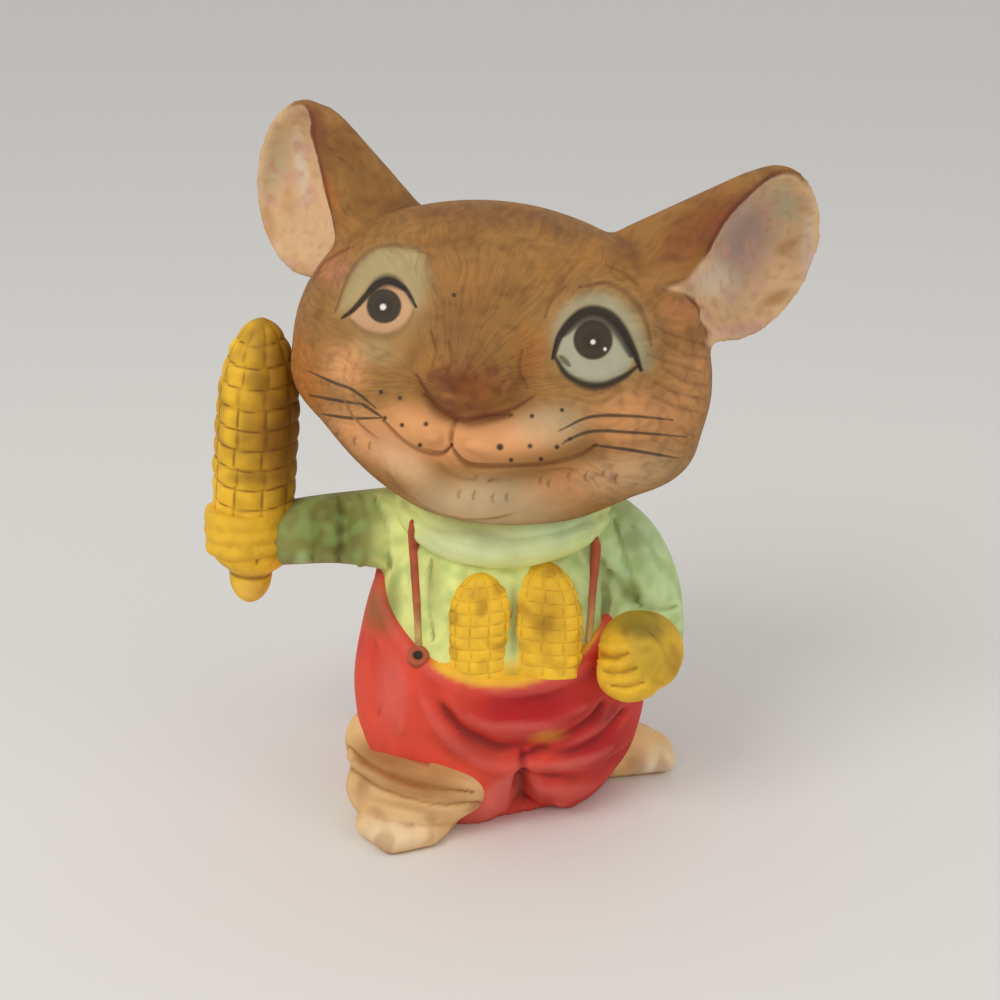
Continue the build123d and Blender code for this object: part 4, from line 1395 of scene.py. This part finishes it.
class MOUSE_OT_braces(Operator):
    """Model the braces and the button"""

    bl_idname = "mouse.braces"
    bl_label = "Braces and button"

    def execute(self, context):
        coat = settings().paint
        body = settings().body
        for path, node_name in zip(BRACE_LINES, ("right_brace", "left_brace")):
            bm = bmesh.new()
            spots = np.array([seat(pixel, "sweater", "collar")[0] for pixel in smooth_path(path, 4)])
            spots[1:-1] = (spots[:-2] + spots[1:-1] + spots[2:]) / 3
            trail = smooth_path(spots, 3)
            for step, spot in enumerate(trail):
                taper = (1 - 0.35 * step / len(trail)) * (0.45 + 0.55 * smooth(-1, 6, step))
                half = body.brace_width / 2 * taper
                ball(bm, spot, (half, BRACE_DEPTH, half))
            skin = Skin(meld(bm, grain=0.3, rounds=3), coat.brace)
            skin.tint(smooth(42, 32, skin.co[:, 2]) * 0.5, coat.sweater)
            skin.mottle(coat.trousers_fold, 0.4, 2.5, 3, 0, 0.6)
            piece(skin.keep_paint(), node_name + "_bisque", node_name, cloth_paint())
        spot, normal = seat(BUTTON_PIXEL, "trousers", "sweater")
        turn = normal.to_track_quat("Z", "Y").to_matrix().to_4x4()
        reach = body.button_radius
        rim = ((0, -1.0), (reach, -1.0), (reach, 0.35), (reach * 0.9, 0.6), (reach * 0.7, 0.66))
        bm = spun((*rim, (reach * 0.5, 0.45), (reach * 0.4, 0.25), (0, 0.2)))
        bmesh.ops.transform(bm, matrix=Matrix.Translation(spot) @ turn, verts=bm.verts)
        skin = Skin(bm, coat.brace)
        skin.tint(skin.near(spot, (reach * 0.6,) * 3, core=0.7), coat.line)
        piece(skin.keep_paint(), "brace_button_bisque", "brace_button", cloth_paint())
        return {"FINISHED"}


# Corn, paws, feet and tail

POCKET_COBS = (
    {
        "node": "right_pocket_cob", "low": (483, 688), "high": (482, 572),
        "radius": 5.5, "cap": 8.0, "seed": 6.0,
    },
    {
        "node": "left_pocket_cob", "low": (540, 682), "high": (543, 560),
        "radius": 6.7, "cap": 11.0, "seed": 9.0,
    },
)
POCKET_ROWS, POCKET_COLUMNS = 9, 11
POCKET_FOOT = 0.6  # bare end of an ear in the waistband
HELD_SEED = 2.0
HELD_WASH, POCKET_WASH = 0.85, 0.5  # how dark the grooves between the kernels are
HELD_DABS = (
    # Brown wash, darker as painted shade on the side of the held ear that lies against the cheek
    ("corn_wash_and_shade", 0.60, (272, 350), (40, 60), 0),
    ("corn_wash_and_shade", 0.85, (294, 420), (40, 150), 6),
    ("corn_wash_and_shade", 0.60, (262, 430), (44, 100), 8),
    ("corn_wash_and_shade", 0.35, (216, 430), (12, 80), 8),
    ("corn_wash_and_shade", 0.45, (255, 478), (44, 10), 0),
    ("corn", 0.90, (254, 582), (30, 26), 0),
    # Painted light: pale cream lifting the shade on the stalk end
    ("foot_pale", 0.12, (252, 590), (26, 20), 0),
)
POCKET_DABS = (
    ("corn_wash_and_shade", 0.40, (546, 618), (28, 48), 0),
    ("corn_wash_and_shade", 0.85, (514, 615), (6, 44), 0),
    ("corn", 0.80, (515, 672), (70, 16), 0),
    ("corn_wash_and_shade", 0.25, (478, 596), (18, 16), 0),
    ("corn_wash_and_shade", 0.25, (545, 570), (24, 10), 0),
)

# Lumps of the paws: place and radii, then the right paw's fingers and their wrap round the corn
RIGHT_PALM = (((-40.8, 3.4, 45.6), (6.6, 6.6, 4.4)),)
LEFT_PALM = (((22.3, -14.0, 31.8), (6.8, 7.6, 6.4)), ((20.4, -17.6, 29.6), (5.4, 4.4, 4.6)))
FINGERS = (49.0, 46.8, 44.4)
FINGER_WRAP = ((-47.0, 3.5), (-45.8, -1.4), (-41.8, -3.6), (-37.6, -2.2), (-35.6, 1.5))
FINGER_RADII = (1.4, 1.7, 1.5, 1.4, 1.2)
FIST_RELIEF = (
    (-0.5, 7, ((598, 654), (612, 657), (628, 653))),
    (-0.5, 7, ((602, 671), (618, 673), (636, 669))),
    (-0.5, 7, ((612, 686), (628, 688), (644, 683))),
    (0.4, 9, ((600, 645), (614, 648), (630, 644))),
    (0.5, 9, ((600, 662), (615, 665), (632, 661))),
    (0.5, 9, ((606, 679), (622, 681), (640, 676))),
    (-0.5, 8, ((652, 632), (667, 648), (671, 668), (662, 688))),
)
FIST_DABS = (
    # Painted shadow under the left sleeve's cuff, at the top of the fist
    ("corn_wash_and_shade", 0.55, (640, 630), (34, 14), 10),
    ("corn_wash_and_shade", 0.45, (676, 665), (14, 30), -10),
    # Painted shadow under the left sleeve's cuff
    ("sweater_fold", 0.65, (642, 622), (54, 30), 5),
    ("sweater_fold", 0.40, (650, 660), (40, 34), 0),
)


def add_cob(length, radius, rows, columns, foot, stalk, cap, kernel, seed):
    """An ear of corn standing on Z: a bare foot, then rows of kernels up to a round top."""
    around = np.linspace(0, math.tau, columns * 12, endpoint=False)
    rings = []
    for height in np.linspace(0, length, rows * 14):
        share = max(height - foot, 0) / (length - foot)
        over = max(height - length + cap, 0) / cap
        reach = radius * math.sqrt(max(1 - over**2, 0))
        if height < foot:
            tip = stalk * math.sqrt(1 - max(1 - height / stalk / 1.3, 0) ** 2)
            reach = tip + (radius - stalk) * smooth(foot * 0.6, foot, height)
        row = share * rows
        column = around / math.tau * columns + 0.06 * math.sin(math.floor(row) * 2.4 + seed)
        cells = [noise.noise((math.floor(row) * 3.1, float(cell) * 2.3, seed)) for cell in np.floor(column)]
        across = abs(np.sin(column * math.pi)) ** 0.6
        along = abs(np.sin((row + 0.12 * np.sin(around * 2 + seed)) * math.pi)) ** 0.6
        swell = kernel * across * along * (0.9 + 0.5 * np.array(cells)) * (share > 0)
        out = np.maximum(reach - kernel + swell * min(1, reach / radius * 1.5), 0.05)
        level = np.full(len(around), height)
        rings.append(np.stack((out * np.cos(around), out * np.sin(around), level), 1))
    bm = bmesh.new()
    loft(bm, rings)
    return bm


def stand(bm, foot, run):
    """Stand a piece that was made on Z at a foot, along a direction."""
    turn = run.to_track_quat("Z", "Y").to_matrix().to_4x4()
    bmesh.ops.transform(bm, matrix=Matrix.Translation(foot) @ turn, verts=bm.verts)


def paint_corn(skin, dabs, kernel, seed, wash):
    """Mustard paint with brown wash in the grooves."""
    coat = settings().paint
    skin.mottle(coat.corn_wash_and_shade, 0.4, 3.0, seed, 0.0, 0.6)
    dab(skin, dabs)
    skin.tint(smooth(-0.02, 0.2, skin.hollows(10) / kernel) * wash, coat.corn_wash_and_shade)


class MOUSE_OT_corn(Operator):
    """Model the held ear of corn and the two in the waistband"""

    bl_idname = "mouse.corn"
    bl_label = "Ears of corn"

    def execute(self, context):
        coat = settings().paint
        corn = settings().corn
        foot, top = Vector(corn.held_foot), Vector(corn.held_top)
        run = top - foot
        bm = add_cob(
            run.length, corn.held_radius, corn.held_rows, corn.held_columns,
            corn.held_bare, corn.stalk_radius, corn.held_cap, corn.kernel, HELD_SEED,
        )
        stand(bm, foot, run)
        skin = Skin(bm, coat.corn)
        paint_corn(skin, HELD_DABS, corn.kernel, HELD_SEED, HELD_WASH)
        piece(skin.keep_paint(), "held_cob_bisque", "held_cob", corn_paint())
        for cob in POCKET_COBS:
            foot, _ = seat(cob["low"], "sweater")
            top, _ = seat(cob["high"], "sweater")
            foot.y += corn.pocket_sink
            run = top - foot
            reach = cob["radius"]
            bm = add_cob(
                run.length, reach, POCKET_ROWS, POCKET_COLUMNS,
                POCKET_FOOT, reach * 0.9, cob["cap"], corn.pocket_kernel, cob["seed"],
            )
            for vert in bm.verts:
                vert.co.y *= corn.pocket_flat
            stand(bm, foot, run)
            skin = Skin(bm, coat.corn)
            paint_corn(skin, POCKET_DABS, corn.pocket_kernel, cob["seed"], POCKET_WASH)
            piece(skin.keep_paint(), cob["node"] + "_bisque", cob["node"], corn_paint())
        return {"FINISHED"}


class MOUSE_OT_paws(Operator):
    """Model both fists"""

    bl_idname = "mouse.paws"
    bl_label = "Paws"

    def execute(self, context):
        coat = settings().paint
        right, left = bmesh.new(), bmesh.new()
        for bm, lumps in ((right, RIGHT_PALM), (left, LEFT_PALM)):
            for middle, radii in lumps:
                ball(bm, middle, radii)
        for height in FINGERS:
            limb(right, [(across, along, height) for across, along in FINGER_WRAP], FINGER_RADII, 6)
        for node_name, bm in (("right_paw", right), ("left_paw", left)):
            skin = Skin(meld(bm, grain=0.4, rounds=3), coat.paw)
            skin.push(skin.cloud(3, 5) * 0.2 + relief(skin, FIST_RELIEF))
            dab(skin, FIST_DABS)
            skin.wash(coat.corn_wash_and_shade, 0.6, 14, 0.03, 0.3)
            skin.mottle(coat.corn_wash_and_shade, 0.25, 2.6, 7, 0.2, 0.7)
            piece(skin.keep_paint(), node_name + "_bisque", node_name, corn_paint())
        return {"FINISHED"}


# Knobs under the skin of the toes: place and radius in millimetres
RIGHT_TOES = (
    ((-21.4, -16.5, 2.3), 2.3), ((-17.3, -21.9, 2.1), 2.1), ((-11.4, -19.5, 2.0), 2.0),
    ((-8.8, -14.5, 2.0), 2.0), ((-19.0, -12.0, 4.5), 2.2), ((-10.0, -11.5, 4.5), 2.2),
)
LEFT_TOES = (
    ((18.5, 3.6, 3.0), 3.0), ((28.4, 5.4, 2.2), 2.2), ((27.4, 8.0, 3.4), 2.6), ((19.0, 5.5, 8.0), 3.4),
    ((19.5, 9.0, 4.2), 4.2),
)
RIGHT_INSTEP = (
    ((-12, -8, 7.6), (13.8, 13.6, 8.2), (0, -16, 0)),
    ((-21.5, -3.5, 10.5), (4.4, 6, 5.5), (0, 0, 0)),
)
FOOT_RELIEF = (
    (-0.6, 6, ((342, 742), (372, 766), (420, 785), (475, 793))),
    (-0.5, 6, ((350, 768), (385, 790), (435, 805), (480, 803))),
    (0.5, 9, ((346, 755), (380, 778), (430, 795))),
    (-0.5, 5, ((372, 720), (392, 748), (430, 765))),
)
FOOT_DABS = (
    ("foot_wash", 0.55, (410, 772), (100, 44), 15),
    ("foot_wash", 0.55, (420, 790), (70, 12), 14),
    ("foot_wash", 0.70, (385, 756), (50, 22), 25),
    ("foot_wash", 0.40, (440, 770), (50, 14), 10),
    ("foot_wash", 0.55, (425, 782), (70, 10), 12),
    ("foot_wash", 0.35, (362, 790), (14, 20), 0),
    ("foot_wash", 0.40, (405, 806), (60, 7), 12),
    # Left toe: cream paint laid thick, with a glint, as painted light where its underside faces down into
    # shade
    ("foot_pale", 0.95, (660, 762), (34, 28), 0),
    ("glint", 0.60, (655, 774), (36, 16), 0),
    ("foot_pale", 0.85, (392, 836), (64, 30), 0),
    ("foot_wash", 0.45, (638, 765), (14, 22), 0),
)


class MOUSE_OT_feet(Operator):
    """Model both feet"""

    bl_idname = "mouse.feet"
    bl_label = "Feet"

    def execute(self, context):
        coat = settings().paint
        right, left = hull(RIGHT_TOES), hull(LEFT_TOES)
        for middle, radii, turn in RIGHT_INSTEP:
            ball(right, middle, radii, turn)
        for node_name, bm in (("right_foot", right), ("left_foot", left)):
            bm = meld(bm, grain=0.45, rounds=7)
            cut_off(bm, Vector((0, 0, 0.05)), Vector((0, 0, -1))).free()
            skin = Skin(bm, coat.foot)
            above = smooth(1, 3, skin.co[:, 2])
            skin.push(above * (skin.cloud(4, 3) * 0.25 + relief(skin, FOOT_RELIEF)))
            dab(skin, FOOT_DABS)
            skin.wash(coat.foot_wash, 0.8, 16, 0.02, 0.3)
            skin.mottle(coat.foot_wash, 0.45, 4, 8, 0.15, 0.6)
            skin.co[skin.co[:, 2] < 0.3, 2] = 0
            skin.move(np.zeros_like(skin.co))
            piece(skin.keep_paint(), node_name + "_bisque", node_name, foot_paint())
        return {"FINISHED"}


TAIL_START, TAIL_SWEEP = 105, 65  # bearing of the tail's root, and how far it runs round, in degrees
TAIL_ROOT_RADIUS, TAIL_TAPER = 2.8, 1.5
TAIL_ROOT_HEIGHT = 10


class MOUSE_OT_tail(Operator):
    """Model the tail round the back of the trousers"""

    bl_idname = "mouse.tail"
    bl_label = "Tail"

    def execute(self, context):
        coat = settings().paint
        _, width, depth, turn, back = BODY_STATIONS[1]
        points, radii = [], []
        for share in np.linspace(0, 1, 6):
            bearing = math.radians(TAIL_START - TAIL_SWEEP * share)
            radius = TAIL_ROOT_RADIUS - TAIL_TAPER * share
            local = bearing - math.radians(turn)
            reach = 1 / math.hypot(math.cos(local) / width, math.sin(local) / depth)
            reach += settings().body.cloth + radius / 2
            height = radius + (TAIL_ROOT_HEIGHT - radius) * (1 - share) ** 2
            points.append((reach * math.cos(bearing), back + reach * math.sin(bearing), height))
            radii.append(radius)
        bm = bmesh.new()
        limb(bm, points, radii, 8)
        skin = Skin(meld(bm, grain=0.35, rounds=4), coat.muzzle)
        skin.mottle(coat.fur_dark, 0.5, 3, 2, 0.0, 0.6)
        skin.co[:, 2] = np.maximum(skin.co[:, 2], 0)
        skin.move(np.zeros_like(skin.co))
        piece(skin.keep_paint(), "tail_bisque", "tail", foot_paint())
        return {"FINISHED"}


# Floor and lamps: half the floor's side in metres, then each lamp's place, share of power and width
FLOOR_REACH = 4.0
LAMPS = (
    ("key", (-0.32, -0.42, 0.55), 1.0, 0.35),
    ("fill", (0.5, -0.35, 0.35), 0.25, 0.4),
)


class MOUSE_OT_stage(Operator):
    """Set the floor, the light and the camera of the photograph"""

    bl_idname = "mouse.stage"
    bl_label = "Stage"

    def execute(self, context):
        stage = settings().stage
        scene = context.scene
        bm = bmesh.new()
        bmesh.ops.create_grid(bm, x_segments=1, y_segments=1, size=FLOOR_REACH)
        mesh = bpy.data.meshes.new("floor")
        bm.to_mesh(mesh)
        bm.free()
        floor = bpy.data.objects.new("floor", mesh)
        scene.collection.objects.link(floor)
        paper = bpy.data.materials.new("matt studio paper")
        paper.use_nodes = True
        shader = paper.node_tree.nodes["Principled BSDF"]
        shader.inputs["Base Color"].default_value = (*settings().paint.floor, 1)
        shader.inputs["Roughness"].default_value = 0.9
        mesh.materials.append(paper)

        world = bpy.data.worlds.new("even light")
        world.use_nodes = True
        world.node_tree.nodes["Background"].inputs["Strength"].default_value = stage.sky
        world.node_tree.nodes["Background"].inputs["Color"].default_value = (1, 1, 1, 1)
        scene.world = world
        for name, spot, share, width in LAMPS:
            lamp = bpy.data.lights.new(name, "AREA")
            lamp.energy = stage.key * share
            lamp.size = width
            item = bpy.data.objects.new(name, lamp)
            item.location = spot
            aim = Vector((0, 0, stage.target * MM)) - Vector(spot)
            item.rotation_euler = aim.to_track_quat("-Z", "Y").to_euler()
            scene.collection.objects.link(item)

        lens = bpy.data.cameras.new("camera")
        lens.sensor_width = SENSOR_WIDTH
        lens.lens = stage.focal * SENSOR_WIDTH / FRAME_SIDE
        lens.clip_start = 0.01
        camera = bpy.data.objects.new("camera", lens)
        camera.location = camera_place() * MM
        camera.rotation_euler = (math.pi / 2 - stage.elevation, 0, 0)
        scene.collection.objects.link(camera)
        scene.camera = camera
        scene.view_settings.view_transform = "Standard"
        return {"FINISHED"}


class MouseFigure(PropertyGroup):
    """All settings of the figure."""

    head: PointerProperty(type=MouseHead)
    body: PointerProperty(type=MouseBody)
    corn: PointerProperty(type=MouseCorn)
    paint: PointerProperty(type=MousePaint)
    stage: PointerProperty(type=MouseStage)


OPERATORS = (
    MOUSE_OT_head,
    MOUSE_OT_sweater,
    MOUSE_OT_collar,
    MOUSE_OT_trousers,
    MOUSE_OT_braces,
    MOUSE_OT_corn,
    MOUSE_OT_paws,
    MOUSE_OT_feet,
    MOUSE_OT_tail,
    MOUSE_OT_stage,
)


class MOUSE_PT_sidebar(Panel):
    """The figure's pieces, in the order in which they are made"""

    bl_idname = "MOUSE_PT_sidebar"
    bl_label = "Mouse figurine"
    bl_space_type = "VIEW_3D"
    bl_region_type = "UI"
    bl_category = "Mouse"

    def draw(self, context):
        for operator in OPERATORS:
            self.layout.operator(operator.bl_idname)


GROUPS = (MouseHead, MouseBody, MouseCorn, MousePaint, MouseStage, MouseFigure)
CLASSES = (*GROUPS, *OPERATORS, MOUSE_PT_sidebar)


def register():
    for item in CLASSES:
        bpy.utils.register_class(item)
    bpy.types.Scene.mouse_figure = PointerProperty(type=MouseFigure)


def unregister():
    del bpy.types.Scene.mouse_figure
    for item in reversed(CLASSES):
        bpy.utils.unregister_class(item)


def main():
    register()
    bpy.ops.mouse.head()
    bpy.ops.mouse.sweater()
    bpy.ops.mouse.collar()
    bpy.ops.mouse.trousers()
    bpy.ops.mouse.braces()
    bpy.ops.mouse.corn()
    bpy.ops.mouse.paws()
    bpy.ops.mouse.feet()
    bpy.ops.mouse.tail()
    bpy.ops.mouse.stage()


if __name__ == "__main__":
    main()
